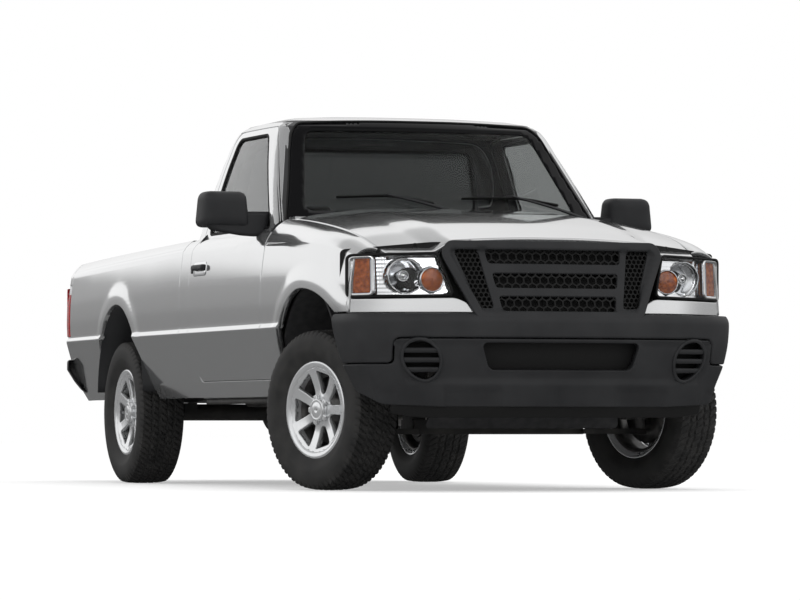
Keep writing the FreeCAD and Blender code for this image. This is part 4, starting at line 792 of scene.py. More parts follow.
def greenhouse_side(y, z):
    """The greenhouse's left face: nearly flat, with a parabola to the windshield's corner in front and one to
    the rear wall."""
    half, cx, cy, rear = level(z, 1), level(z, 2), level(z, 3), level(z, 5)
    start, end = cy + CORNER_RUN, rear - REAR_ROUND
    middle, run = (start + end) / 2, (end - start) / 2
    x = half - BOW_OUT * np.clip((y - middle) / run, -1, 1) ** 2
    front = np.clip((y - cy) / CORNER_RUN, 0, 1)
    x = np.where(y < start, cx + (half - BOW_OUT - cx) * front + 14 * 4 * front * (1 - front), x)
    back = np.clip((y - end) / REAR_ROUND, 0, 1)
    return np.where(y > end, half - BOW_OUT - (1 - np.sqrt(1 - 0.98 * back ** 2)) * (REAR_ROUND - BOW_OUT), x)


def copied(node):
    """A CAD node's points in millimetres and its faces, merged: points that round to the same hundredth of a
    millimetre become one, and faces that lose a corner go."""
    mesh = nodes[node].data
    points = np.empty(len(mesh.vertices) * 3, np.float32)
    mesh.vertices.foreach_get("co", points)
    corners = np.empty(len(mesh.loops), np.int32)
    mesh.loops.foreach_get("vertex_index", corners)
    points, place = np.unique((points.reshape(-1, 3).astype(float) / MM).round(2), axis=0,
                              return_inverse=True)
    faces = place.reshape(-1)[corners].reshape(-1, 3)
    whole = (faces[:, 0] != faces[:, 1]) & (faces[:, 1] != faces[:, 2]) & (faces[:, 2] != faces[:, 0])
    return points, faces[whole].tolist()


def cab_side(y, z):
    """The cab's left face at (y, z): the profile below the sill and the greenhouse above it."""
    y, z = np.asarray(y, float), np.asarray(z, float)
    belt = through(back_y, back_points[:, 6, 1], y)
    q = np.where(z < belt, profile_height(y, z), BELT + (z - belt) * (TOP - BELT) / (TOP - belt))
    low = body(y, np.minimum(q, TOP))[:, 0]
    high = greenhouse_side(y, np.maximum(z, TOP)) - 1.0
    share = np.clip((z - TOP + 6) / 12, 0, 1)
    return np.stack([low * (1 - share) + high * share, y, z], 1)


DOOR_OUTLINE = [(DOOR_FRONT, 478), (DOOR_REAR, 478), (DOOR_REAR, 1330), (46, 1622), (-528, 1622),
                (-938, 1158), (DOOR_FRONT, 1060)]
WINDOW_OUTLINE = [(-872, 1152), (2, 1152), (4, 1380), (-16, 1586), (-440, 1586)]
DOOR_CORNERS = [34, 34, 60, 60, 40, 30, 24]
door_line = inwards(rounded(DOOR_OUTLINE, DOOR_CORNERS), 0.5)
window_line = rounded(WINDOW_OUTLINE, [30, 34, 60, 44, 40])
CREASE_ROWS = (468.5, 473, 478, 697, 702, 706, 714, 718, 723, 1066, 1075, 1084, 1125, 1131, 1137)
door = panel(cab_side, door_line, [window_line], step=18.0, flange=20.0, rows=CREASE_ROWS)

# %% [markdown]
# Inside, each door has a moulded card with an armrest. It stands 62 mm behind the skin. A rubber strip runs
# round the window, whose pane lies 9 mm behind the skin.


# %% Door cards, window rubbers and panes
def offset_side(amount):
    """The cab side moved inwards by an amount."""
    def lift(y, z):
        return cab_side(y, z) - np.array([amount, 0, 0])
    return lift


def strip_round(lift, outline, widths, heights):
    """A rubber strip that follows an outline on a surface: for each pair of width and height, the outline
    moved to its inner side and lifted from the surface."""
    rows = []
    for width, height in zip(widths, heights):
        line = inwards(outline, width)
        rows.append(lift(line[:, 0], line[:, 1]) + normal_of(lift, line[:, 0], line[:, 1]) * height)
    return grid(np.stack(rows), close_v=True)


card = panel(offset_side(62.0), inwards(rounded(DOOR_OUTLINE, DOOR_CORNERS), 24), [inwards(window_line, -14)],
             step=24.0, fold=6.0, flange=42.0, flip=True)
arm_line = rounded([(-760, 800), (-120, 800), (-120, 860), (-760, 850)], 24)
arm_rest = panel(offset_side(128.0), arm_line, step=24.0, fold=14.0, flange=66.0, flip=True)
rubber_strip = strip_round(cab_side, window_line, (-9, -7, 3, 4, 4), (-1.0, 2.0, -1.0, -5.0, -13.0))
pane = panel(offset_side(9.0), inwards(window_line, -3), step=26.0, fold=0, flange=0)
print("door points", len(door[0]))

# %% [markdown]
# The handle is a lift handle in a cup. The cup is pressed into the skin, and the black grip bridges it.


# %% Door handle
def on_side(points):
    """Points given as (y, z, height above the skin) put onto the door's skin."""
    points = np.asarray(points, float)
    flat = points.reshape(-1, 3)
    place = cab_side(flat[:, 0], flat[:, 1]) + np.array([1.0, 0, 0]) * flat[:, 2][:, None]
    return place.reshape(points.shape)


def pad(outline, base, top, round_off, lift=on_side):
    """A moulded pad: an outline raised from base to top with a rounded rim, closed by shrinking rings."""
    shares = np.linspace(0, np.pi / 2, 5)
    rows = [np.c_[outline, np.full(len(outline), base)]]
    for angle in shares:
        line = inwards(outline, round_off * (1 - math.cos(angle)))
        rows.append(np.c_[line, np.full(len(line), top - round_off + round_off * math.sin(angle))])
    centre = outline.mean(0)
    for share in (0.7, 0.35, 0.02):
        line = centre + (inwards(outline, round_off) - centre) * share
        rows.append(np.c_[line, np.full(len(line), top)])
    points, faces = grid(lift(np.stack(rows)), close_v=True)
    count = len(outline)
    last = len(points) - count
    faces.append(list(range(last, len(points))))
    return points, faces


def outward(part, flip):
    """Faces turned over where a flag asks for it."""
    return part[0], [face[::-1] for face in part[1]] if flip else part[1]


cup_line = rounded([(-182, 958), (10, 958), (10, 1022), (-182, 1022)], 22, step=6.0)
cup = pad(cup_line, -4.0, 3.0, 3.0)
grip_line = rounded([(-170, 984), (-8, 984), (-8, 1010), (-170, 1010)], 11, step=6.0)
grip = pad(grip_line, 2.0, 24.0, 9.0)
lock_line = rounded([(22, 972), (44, 972), (44, 994), (22, 994)], 11, step=4.0)
lock = pad(lock_line, -2.0, 4.0, 2.0)


def signed_volume(part):
    """Six times the volume that the faces enclose, positive where they point outwards."""
    points, faces = part
    total = 0.0
    for size in {len(face) for face in faces}:
        ring = np.array([face for face in faces if len(face) == size])
        first = points[ring[:, 0]]
        for k in range(1, size - 1):
            total += (first * np.cross(points[ring[:, k]], points[ring[:, k + 1]])).sum()
    return total


def closed(part):
    """A closed part with its faces pointing outwards."""
    return outward((np.asarray(part[0], float), part[1]), signed_volume(part) < 0)


for hand, turn in BOTH_HANDS:
    door_body = "door_" + hand
    piece("door_skin_" + hand, *turn(door), paint, body=door_body)
    piece("door_card_" + hand, *turn(joined(card, arm_rest)), charcoal, body=door_body, slot="dash_plastic")
    piece("window_rubber_" + hand, *turn(outward(rubber_strip, True)), seal_and_shade_black, body=door_body,
          slot="charcoal_moulding", solid=1.5)
    piece("door_pane_" + hand, *turn(pane), seal_and_shade_black, body=door_body, slot="window_glass", solid=4.0)
    piece("door_grip_" + hand, *turn(joined(closed(grip), closed(lock))), charcoal, body=door_body,
          slot="charcoal_moulding")
    piece("door_cup_" + hand, *turn(closed(cup)), chrome, body=door_body, slot="charcoal_moulding")
    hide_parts("door_" + hand)
    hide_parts("door_glass_" + hand)
print("door grip points", len(grip[0]))

# %% [markdown]
# ## Bed
# The bed's outer skins have the same profile and the second pair of wheel openings. Between them sits the
# tub: two inner walls, a ribbed floor, a front wall and the two wheel housings. A painted post closes each
# rear end beside the tailgate.

# %% Bed skins
GATE_GAP_X = 694.0
opening = wheel_opening(REAR_AXLE, ARCH_CENTRE, BED_FRONT, BED_END)
bed_outline = np.concatenate([
    [(BED_END - 2, ROCKER + 2), (REAR_AXLE + ARCH_HALF, ROCKER + 2)],
    np.stack([opening[:, 0], profile_height(opening[:, 0], opening[:, 1])], 1),
    [(REAR_AXLE - ARCH_HALF, ROCKER + 2), (BED_FRONT, ROCKER + 2), (BED_FRONT, TOP),
     (BED_END - 62, TOP), (BED_END - 62, 722), (BED_END - 2, 722)],
])
bed_skin = panel(body, spaced(bed_outline), step=20.0, rows=SIDE_ROWS, flange=20.0)
corner_line = np.array([(BED_END - 62, 1020.0), (BED_END - 2, 1020.0), (BED_END - 2, TOP),
                        (BED_END - 62, TOP)])
corner = panel(body, spaced(corner_line), step=15.0, rows=SIDE_ROWS, flange=20.0)
for hand, turn in BOTH_HANDS:
    piece("bed_skin_" + hand, *turn(joined(bed_skin, corner)), paint)
post_q = np.linspace(ROCKER + 3, TOP, 70)
post_edge = body(np.full_like(post_q, BED_END - 6.0), post_q) - (1.5, 0, 0)
post = grid(np.stack([post_edge, post_edge * (0, 1, 1) + (GATE_GAP_X, 0, 0)]))
for hand, turn in BOTH_HANDS:
    piece("bed_post_" + hand, *turn(post), paint, solid=1.2)
print("bed skin points", len(bed_skin[0]))

# %% The tub
LOAD_HALF, FLOOR, WALL_TOP_FALL = 690.0, 685.0, 42.0
tub_y = np.linspace(BED_FRONT, BED_END - 3, 40)
share = (tub_y - BED_FRONT) / (BED_END - BED_FRONT)
rail_top = 1131 - WALL_TOP_FALL * share
rail_out = SIDE_HALF[TOP] - 52 * share ** 3


def rows_of(*columns):
    """A surface from lines given as (x, z) pairs, each a number or one value for each station of the bed."""
    lines = []
    for x, z in columns:
        lines.append(np.stack([np.broadcast_to(x, tub_y.shape), tub_y, np.broadcast_to(z, tub_y.shape)], 1))
    return grid(np.stack(lines))


wall = rows_of((rail_out + 0.5, rail_top - 3), (rail_out - 1, rail_top), (rail_out - 4, rail_top + 1.5),
               (LOAD_HALF + 10, rail_top + 2), (LOAD_HALF + 3, rail_top), (LOAD_HALF, rail_top - 6),
               (LOAD_HALF, rail_top - 40), (LOAD_HALF + 14, rail_top - 52), (LOAD_HALF + 14, FLOOR + 60),
               (LOAD_HALF + 10, FLOOR + 12), (LOAD_HALF - 2, FLOOR))
rib_x = np.linspace(-LOAD_HALF + 2, LOAD_HALF - 2, 277)
rib_wave = np.clip(np.sin(rib_x / 138.0 * 2 * np.pi) * 2.2, -1, 1) * 5.0 - 3.0
rib_fade = np.clip((LOAD_HALF - 30 - np.abs(rib_x)) / 30, 0, 1)
floor_rows = np.stack([np.stack([rib_x, np.full_like(rib_x, y), FLOOR + rib_wave * rib_fade - 1], 1)
                       for y in np.linspace(BED_FRONT + 30, BED_END - 56, 12)])
bed_floor = grid(floor_rows)
heights = np.array([(BED_FRONT, 420), (BED_FRONT, 1124), (BED_FRONT + 3, 1130), (BED_FRONT + 8, 1132),
                    (BED_FRONT + 24, 1132), (BED_FRONT + 29, 1128), (BED_FRONT + 30, 1118),
                    (BED_FRONT + 30, 680)])
ribbed = (heights[:, 1] < 1100) & (heights[:, 0] > BED_FRONT + 20)
front_rows = np.stack([np.stack([np.full(len(heights), x * (LOAD_HALF + 14)),
                                 heights[:, 0] + np.clip(np.sin(x * 17), -0.5, 0.5) * 8 * ribbed,
                                 heights[:, 1]], 1) for x in np.linspace(-1, 1, 61)])
angle = np.linspace(0, np.pi, 41)
HOUSING = 16.0
dome_y = REAR_AXLE + (ARCH_HALF + HOUSING) * np.cos(angle)
dome_z = np.maximum(ARCH_CENTRE + (ARCH_RISE + HOUSING) * np.sin(angle), FLOOR - 4)
round_in = ((704, 0), (545, 0), (530, 4), (522, 12), (520, 24), (520, 400))
dome_rows = [np.stack([np.full(41, x), REAR_AXLE + (dome_y - REAR_AXLE) * (1 - down / 404),
                       np.maximum(dome_z - down, FLOOR - 4)], 1) for x, down in round_in]
housing = grid(np.stack(dome_rows))
line = np.stack([REAR_AXLE + ARCH_HALF * np.cos(angle), ARCH_CENTRE + ARCH_RISE * np.sin(angle)], 1)
under = [np.stack([np.full(41, x), line[:, 0], line[:, 1]], 1) for x in (850, 700, 540)]
inner_arch = grid(np.stack(under))
back_plate = np.stack([np.array([[540, y, z], [540, y, ARCH_CENTRE]]) for y, z in line])
tub = joined(wall, mirrored(wall), bed_floor, grid(front_rows), housing, mirrored(housing))
piece("bed_tub", *tub, paint)
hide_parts("bed")
arches = joined(inner_arch, mirrored(inner_arch), grid(back_plate), mirrored(grid(back_plate)))
piece("bed_wheel_housings", *arches, charcoal, slot="liner_plastic", solid=2.0)
beams = []
BEAM_X = (-520, -200, 200, 520)
for y in np.linspace(420, 2120, 5):
    section = np.array([(0, 630.5), (12, 642), (12, 664), (62, 664), (62, 642), (74, 630.5)])
    ends = [np.stack([np.full(6, x), y - 37 + section[:, 0], section[:, 1]], 1) for x in BEAM_X]
    beams.append(grid(np.stack(ends)))
under_floor = grid(np.stack([np.stack([rib_x, np.full_like(rib_x, y), FLOOR - 14 + rib_wave * rib_fade], 1)
                             for y in np.linspace(BED_FRONT + 4, BED_END - 56, 12)]))
piece("bed_underside", *joined(under_floor, *beams), steel, slot="frame_paint", solid=2.0)
print("tub points", len(tub[0]))

# %% [markdown]
# The tailgate is a pressed skin with a wide shallow panel and a handle in a cup at its middle. Its inner face
# is stiffened by ribs that line up with those of the floor.

# %% Tailgate
GATE_HALF, GATE_LOW, GATE_TOP = 684.0, 652.0, 1084.0


def gate_back(x, z):
    """The rear face: 7 mm back inside the pressed panel, with a soft step at its border."""
    inside = np.minimum(np.minimum(590 - np.abs(x), z - 720), 1030 - z)
    press = 7 * np.clip(inside / 16, 0, 1)
    handle = np.minimum(120 - np.abs(x), np.minimum(z - 968, 1018 - z))
    cup_depth = 18 * np.clip((handle + 4) / 14, 0, 1)
    return np.stack([x, BED_END - 3 - np.maximum(press, cup_depth), z], 1)


def gate_front(x, z):
    """The inner face with its ribs: a row of shallow upright waves between two level borders."""
    wave = np.clip(np.sin(x / 138.0 * 2 * np.pi) * 2.2, -1, 1) * 4
    fade = np.clip(np.minimum(z - 710, 1030 - z) / 20, 0, 1) * np.clip((640 - np.abs(x)) / 30, 0, 1)
    return np.stack([x, BED_END - 50 + wave * fade, z], 1)


gate_line = rounded([(-GATE_HALF, GATE_LOW), (GATE_HALF, GATE_LOW), (GATE_HALF, GATE_TOP),
                     (-GATE_HALF, GATE_TOP)], 10)
gate_rear = panel(gate_back, gate_line, step=18.0, flip=True, fold=5.0, flange=24.0)
gate_inner = panel(gate_front, gate_line, step=20.0, fold=5.0, flange=24.0)
piece("tailgate_skin", *joined(gate_rear, gate_inner), paint, body="tailgate")
gate_grip = pad(rounded([(-92, 990), (92, 990), (92, 1010), (-92, 1010)], 8, step=6.0), -16, -1, 6,
                lambda points: np.stack([points[..., 0], BED_END - 3 + points[..., 2], points[..., 1]], -1))
piece("tailgate_grip", *closed(gate_grip), charcoal, body="tailgate", slot="charcoal_moulding")
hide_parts("tailgate")
print("tailgate points", len(gate_rear[0]))

# %% [markdown]
# ## Front end
# The lamps, the grille and the strip below them all lie on one nose surface. In plan it is a bow that turns
# back at the sides, and it leans back with height. Each piece is an outline on that surface.

# %% The nose surface
NOSE_X = np.array([-880, -836, -560, -360, 0, 360, 560, 836, 880], float)
NOSE_LOW_Y = np.array([-2050, -2093, -2296, -2372, -2392, -2372, -2296, -2093, -2050], float)
NOSE_HIGH_X = np.array([-848, -800, -560, -445, 0, 445, 560, 800, 848], float)
NOSE_HIGH_Y = np.array([-2035, -2085, -2214, -2252, -2276, -2252, -2214, -2085, -2035], float)
NOSE_LOW_Z, NOSE_HIGH_Z = 690.0, 1062.0


def nose(x, z):
    """The nose at (x, z): the plan curves of its lower and upper edge, mixed by height."""
    share = (z - NOSE_LOW_Z) / (NOSE_HIGH_Z - NOSE_LOW_Z)
    low = through(NOSE_X, NOSE_LOW_Y, x)
    high = through(NOSE_HIGH_X, NOSE_HIGH_Y, np.clip(x * (1 - 0.043 * np.clip(share, 0, 1)), -848, 848))
    return np.stack([x, low + (high - low) * share, z], 1)


def behind(surface, depth):
    """A surface moved to its inner side along y."""
    def lift(x, z):
        return surface(x, z) + np.array([0, depth, 0])
    return lift


def both(points):
    """An outline's right half, given from top to bottom, completed by its mirror image."""
    points = np.asarray(points, float)
    return np.concatenate([points, points[::-1] * (-1, 1)])


# %% [markdown]
# The grille is one charcoal moulding: a heavy frame, two upright openings with fine mesh at the sides, and
# three level slots in the middle with a row of hexagons in each.

# %% Grille frame
grille_outline = rounded(both([(468, 1046), (500, 990), (400, 780), (368, 712)]), [34, 30, 40, 40])
SLOTS = ((951, 1003, 294, 303), (849, 909, 270, 281), (753, 812, 252, 262))
slots = [rounded([(-low, z0), (low, z0), (high, z1), (-high, z1)], 14) for z0, z1, low, high in SLOTS]
UPRIGHT = [(290, 762), (350, 764), (436, 1003), (335, 1003)]
uprights = [rounded(UPRIGHT, 16), rounded([(-x, z) for x, z in UPRIGHT], 16)]


def grille_surface(x, z):
    """The grille's face: the nose, with its frame 16 mm proud and its middle field 4 mm behind the nose."""
    place = nose(x, z)
    edge = distance(np.stack([x, z], 1), grille_outline)
    field = np.clip((edge - 34) / 12, 0, 1)
    place[:, 1] += -16 + 20 * field * field * (3 - 2 * field)
    return place


grille_face = panel(grille_surface, grille_outline, slots + uprights, step=13.0, fold=5.0, flange=34.0)


def hexagon_mesh(surface, low_x, high_x, low_z, high_z, pitch, bar, depth, outline):
    """A honeycomb: each cell is a tube between two hexagons, whose walls are the bars between the cells."""
    columns = np.arange(math.ceil((high_x - low_x) / pitch) + 1)
    rows = np.arange(math.ceil((high_z - low_z) / (pitch * 0.866)) + 1)
    parts = []
    corner = np.linspace(0, 2 * np.pi, 7)[:-1] + np.pi / 6
    for row in rows:
        for column in columns:
            x = low_x + (column + 0.5 * (row % 2)) * pitch
            z = low_z + row * pitch * 0.866
            centre = np.array([[x, z]])
            if not within(centre, outline)[0]:
                continue
            rings = []
            for radius, back in ((pitch / 1.732, 0.0), (pitch / 1.732 - bar, 0.0),
                                 (pitch / 1.732 - bar, depth)):
                px, pz = x + radius * np.cos(corner), z + radius * np.sin(corner)
                rings.append(surface(px, pz) + np.array([0, back, 0]))
            parts.append(grid(np.stack(rings), close_v=True))
    return joined(*parts)


meshes = []
for (z0, z1, low, high), line in zip(SLOTS, slots):
    meshes.append(hexagon_mesh(behind(nose, 6.0), -high - 10, high + 10, (z0 + z1) / 2 - 31.2, z1 + 30,
                               36.0, 3.6, 12.0, inwards(line, -14)))
for line in uprights:
    meshes.append(hexagon_mesh(behind(nose, 8.0), line[:, 0].min(), line[:, 0].max(), 762, 1003,
                               21.0, 3.0, 12.0, inwards(line, -6)))
grille_back = panel(behind(nose, 46.0), inwards(grille_outline, 26), step=30.0, fold=0, flange=0)
piece("grille_frame", *grille_face, charcoal, slot="charcoal_moulding", solid=2.5)
piece("grille_mesh", *joined(*meshes), seal_and_shade_black, slot="charcoal_moulding", smooth=False)
piece("grille_shadow_board", *grille_back, seal_and_shade_black, slot="charcoal_moulding", solid=3.0)
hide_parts("grille")
print("grille points", len(grille_face[0]), "mesh points", sum(len(part[0]) for part in meshes))

# %% [markdown]
# Each headlamp is a bright bowl under a clear cover. The bowl has a round main reflector, a smaller round
# amber lamp that overlaps it towards the grille, and a fluted field round them. An amber marker sits at the
# outer corner behind a strip of its own.

# %% Headlamp shapes
LAMP = [(452, 815), (842, 808), (842, 984), (505, 992)]
lamp_line = rounded(LAMP, [30, 22, 22, 16], step=6.0)
MAIN_X, MAIN_Z, MAIN_R = 628.0, 897.0, 74.0
TURN_X, TURN_Z, TURN_R = 528.0, 880.0, 52.0
MARK = [(752, 822), (828, 820), (828, 972), (752, 976)]
marker_line = rounded(MARK, 12, step=5.0)


def bowl(x, z):
    """The lamp's reflector: a field of upright flutes 40 mm behind the cover, with two round dishes whose
    depth falls as a paraboloid to their middles."""
    place = nose(x, z)
    place[:, 1] += 34 + 2.2 * np.abs(np.sin(x / 11.0 * np.pi)) + 1.2 * np.abs(np.sin(z / 17.0 * np.pi))
    for px, pz, radius, deep in ((MAIN_X, MAIN_Z, MAIN_R, 44.0), (TURN_X, TURN_Z, TURN_R, 22.0)):
        share = np.clip(np.hypot(x - px, z - pz) / radius, 0, 1)
        flat = nose(np.full_like(x, px), np.full_like(z, pz))[:, 1] + 34
        dish = flat + deep * (1 - share ** 2)
        lip = np.clip((share - 0.9) / 0.1, 0, 1)
        place[:, 1] = np.where(share < 1, dish * (1 - lip) + place[:, 1] * lip, place[:, 1])
    return place


reflector = panel(bowl, inwards(lamp_line, 5), step=5.0, fold=0, flange=0)
housing_wall = strip_round(behind(nose, 0.0), lamp_line, (-4, 2, 3, 3, 3), (-2.0, 1.0, 0.0, -14.0, -40.0))
cover = panel(behind(nose, -1.5), inwards(lamp_line, 2.5), step=14.0, fold=5.0, flange=6.0)


def dome(px, pz, radius, out, depth, rings=9, sides=40):
    """A shallow round lens on the nose: rings whose height is a circle's arc."""
    rows = []
    for share in np.linspace(1, 0.02, rings):
        angle = np.linspace(0, 2 * np.pi, sides, endpoint=False)
        x, z = px + radius * share * np.cos(angle), pz + radius * share * np.sin(angle)
        flat = nose(np.full_like(x, px), np.full_like(z, pz))[:, 1]
        rows.append(np.stack([x, flat + depth - out * (1 - share ** 2), z], 1))
    return grid(np.stack(rows), close_v=True)


def tube(px, pz, radius, front, back, sides=40, thick=4.0):
    """A short round bezel facing forwards."""
    angle = np.linspace(0, 2 * np.pi, sides, endpoint=False)
    flat = float(nose(np.array([px]), np.array([pz]))[0, 1])
    rows = []
    for r, y in ((radius + thick, back), (radius + thick, front + 2), (radius + thick - 2, front),
                 (radius + 1, front), (radius, front + 3), (radius - 1, back)):
        rows.append(np.stack([px + r * np.cos(angle), np.full(sides, flat + y), pz + r * np.sin(angle)], 1))
    return grid(np.stack(rows), close_v=True)


bulb = dome(MAIN_X, MAIN_Z, 17.0, 16.0, 42.0)
turn_lens = dome(TURN_X, TURN_Z, TURN_R - 6, 9.0, 22.0)
rims = joined(tube(MAIN_X, MAIN_Z, MAIN_R - 4, 28.0, 52.0, 56, 3.0),
              tube(TURN_X, TURN_Z, TURN_R - 4, 16.0, 46.0, 48, 4.0),
              tube(MAIN_X, MAIN_Z, 19.0, 34.0, 70.0, 32, 3.0))
marker = panel(behind(nose, 10.0), inwards(marker_line, 6), step=7.0, fold=4.0, flange=10.0)
marker_rim = strip_round(behind(nose, 8.0), marker_line, (-10, -8, 4, 6), (-4.0, 3.0, 3.0, -6.0))
print("reflector points", len(reflector[0]))

# %% The lens materials
clear = finish("clear_lens", (1, 1, 1), roughness=0.02, transmission=1.0, ior=1.2)
vary_roughness(clear, noise(clear, 40.0), 0.01, 0.04)
silvered = finish("silvered_reflector", (0.92, 0.93, 0.95), metallic=1.0, roughness=0.09)
vary_roughness(silvered, noise(silvered, 90.0), 0.06, 0.14)
amber = finish("amber_lens", (0.6, 0.12, 0.01), roughness=0.12, coat=1.0, specular=0.4)
vary_color(amber, noise(amber, 60.0), (0.3, 0.05, 0.006), (0.72, 0.17, 0.02))
red_lens = finish("red_lens", (0.42, 0.01, 0.012), roughness=0.12, coat=1.0)
vary_color(red_lens, noise(red_lens, 90.0), (0.3, 0.006, 0.008), (0.5, 0.02, 0.02))

for hand, turn in BOTH_HANDS:
    piece("lamp_bowl_" + hand, *turn(reflector), silvered, slot="lamp_housing", solid=2.0)
    piece("lamp_rims_" + hand, *turn(joined(rims, bulb)), chrome, slot="lamp_housing", solid=1.0)
    piece("lamp_cover_" + hand, *turn(cover), clear, slot="lamp_housing", solid=2.0)
    piece("lamp_surround_" + hand, *turn(housing_wall), seal_and_shade_black, slot="charcoal_moulding",
          solid=2.0)
    piece("turn_lamp_" + hand, *turn(turn_lens), amber, slot="lamp_housing", solid=2.0)
    piece("corner_marker_" + hand, *turn(marker), amber, slot="lamp_housing", solid=2.0)
    piece("marker_rim_" + hand, *turn(marker_rim), chrome, slot="lamp_housing", solid=1.5)
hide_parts("headlamps")
print("lamp cover points", len(cover[0]))

# %% Nose panel
STRIP = [(376, 742), (846, 742), (846, 802), (446, 806), (404, 786)]
strip_line = rounded(STRIP, [8, 10, 8, 20, 10])
strip = panel(nose, strip_line, step=12.0, fold=5.0, flange=30.0)
# A near-black board 70 mm behind the whole nose is painted shade: it darkens what shows through the gaps
# round the grille, the lamps and the strip.
shade_board_line = rounded([(-846, 700), (846, 700), (846, 1010), (500, 1040), (-500, 1040), (-846, 1010)], 20)
nose_shade_board = panel(behind(nose, 70.0), shade_board_line, step=40.0, fold=0, flange=0)
piece("nose_strip", *joined(strip, mirrored(strip)), paint, solid=1.5)
piece("nose_shadow_board", *nose_shade_board, seal_and_shade_black, slot="charcoal_moulding", solid=3.0)
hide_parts("nose_panel")
print("nose strip points", len(strip[0]))

# %% [markdown]
# ## Front bumper
# The bumper is a soft moulded cover in grained charcoal. Its upper part is smooth. The lower part, from
# the wheel openings round to the middle, is a separate field, sunk by a few millimetres, with a wide intake
# and two round vents. Each vent has a raised ring and level bars.

# %% Bumper surface
BUMPER = np.array([
    (346, 770, -2352, -2060), (430, 800, -2372, -2045), (546, 850, -2396, -2020), (640, 872, -2405, -2000),
    (712, 880, -2402, -1982), (748, 868, -2376, -1977),
], float)


def bumper(s, z):
    """The bumper at s, the way round from its middle, and z: the plan points of each level are joined by a
    smooth curve, and the levels by another."""
    side, s = np.sign(s), np.abs(s)
    half, front, end = (through(BUMPER[:, 0], BUMPER[:, k], z) for k in (1, 2, 3))
    turn_y = front + 92
    stations = np.stack([-340 + 0 * half, 0 * half, 340 + 0 * half, 0.80 * half, 0.955 * half, half])
    depths = np.stack([front + 16, front, front + 16, turn_y, (turn_y + end) / 2 - 46, end])
    knots = np.array([-340, 0, 340, 706, 880, 1110], float)
    x = through(knots, stations, s)
    y = through(knots, depths, s)
    return np.stack([x * np.where(side == 0, 1, side), y, z], 1)


SPLIT_Z, SIDE_SPLIT_Z, SPLIT_S, END_S = 636.0, 530.0, 740.0, 1108.0
top_line = rounded(both([(END_S, 744), (END_S, SIDE_SPLIT_Z + 2), (SPLIT_S + 8, SIDE_SPLIT_Z + 2),
                         (SPLIT_S - 14, SPLIT_Z + 2)]), [14, 6, 26, 34])
top_cover = panel(bumper, top_line, step=17.0, fold=9.0, flange=34.0, rows=(700, 712, 724))
intake_line = rounded([(-318, 503), (318, 503), (355, 617), (-355, 617)], 30)
VENT_S, VENT_Z, VENT_R = 615.0, 546.0, 84.0
circle = np.linspace(0, 2 * np.pi, 72, endpoint=False)
vent_line = np.stack([VENT_S + VENT_R * np.cos(circle), VENT_Z + VENT_R * np.sin(circle)], 1)
lower_line = rounded(both([(SPLIT_S - 20, SPLIT_Z - 2), (SPLIT_S + 2, SIDE_SPLIT_Z - 2),
                           (END_S, SIDE_SPLIT_Z - 2), (END_S, 418), (860, 362), (560, 352)]),
                     [30, 26, 6, 40, 60, 20])


def lower_surface(s, z):
    """The lower field: the bumper, sunk by 9 mm in the area round vents and intake, and tucked in below."""
    place = bumper(s, z)
    border = np.minimum(np.minimum(SPLIT_S - 14 - np.abs(s), SPLIT_Z - 8 - z), z - 452)
    sink = 9 * np.clip(border / 10, 0, 1)
    hole = np.minimum(distance(np.stack([np.abs(s), z], 1), vent_line),
                      distance(np.stack([s, z], 1), intake_line))
    rim = 7 * np.clip(1 - hole / 12, 0, 1)
    beside = np.abs(((np.abs(s) + 130) % 520) - 260) - 120
    notch = 11 * np.clip((430 - z) / 10, 0, 1) * np.clip(beside / 14, 0, 1)
    place[:, 1] += (sink - rim + notch) * np.clip((900 - np.abs(s)) / 80, 0, 1)
    return place


lower_cover = panel(lower_surface, lower_line, [intake_line, vent_line, vent_line * (-1, 1)], step=15.0,
                    fold=5.0, flange=30.0)


def lip(s, z):
    """The chin: a dark strip that hangs below the lower field and leans back."""
    place = bumper(s, np.full_like(z, 360.0))
    place[:, 1] += 14 + (360 - z) * 0.5
    place[:, 2] = z
    return place


chin_line = rounded(both([(800, 372), (800, 322), (640, 306), (560, 306)]), [10, 20, 20, 20])
chin = panel(lip, chin_line, step=14.0, fold=5.0, flange=16.0)
vent_bars = []
for side in (-1, 1):
    for z in (VENT_Z - 40, VENT_Z, VENT_Z + 40):
        reach = math.sqrt(VENT_R ** 2 - (z - VENT_Z) ** 2) + 2
        s = np.linspace(side * VENT_S - reach, side * VENT_S + reach, 15)
        section = [(-9, 24), (-9, 9), (-6, 5), (6, 5), (9, 9), (9, 24)]
        rows = [bumper(s, np.full(15, z + up)) + np.array([0, back, 0]) for up, back in section]
        vent_bars.append(grid(np.stack(rows)))
dark_boards = panel(behind(bumper, 62.0), rounded(both([(760, 640), (760, 430)]), 20), step=30.0,
                    fold=0, flange=0)
piece("bumper_cover", *top_cover, charcoal, slot="charcoal_moulding", solid=3.0)
piece("bumper_lower_field", *lower_cover, charcoal, slot="charcoal_moulding", solid=3.0)
piece("bumper_chin", *chin, seal_and_shade_black, slot="charcoal_moulding", solid=3.0)
piece("vent_bars", *joined(*vent_bars), charcoal, slot="charcoal_moulding", solid=2.0)
vent_ring = strip_round(lower_surface, vent_line, (-9, -7, -3, 1, 4, 5), (-1.0, 3.0, 4.5, 4.0, 1.0, -14.0))
piece("vent_rings", *joined(vent_ring, mirrored(vent_ring)), charcoal, slot="charcoal_moulding", solid=1.0)
piece("intake_shadow_board", *dark_boards, seal_and_shade_black, slot="charcoal_moulding", solid=3.0)
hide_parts("front_bumper")
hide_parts("air_dam")
print("bumper points", len(top_cover[0]), len(lower_cover[0]))

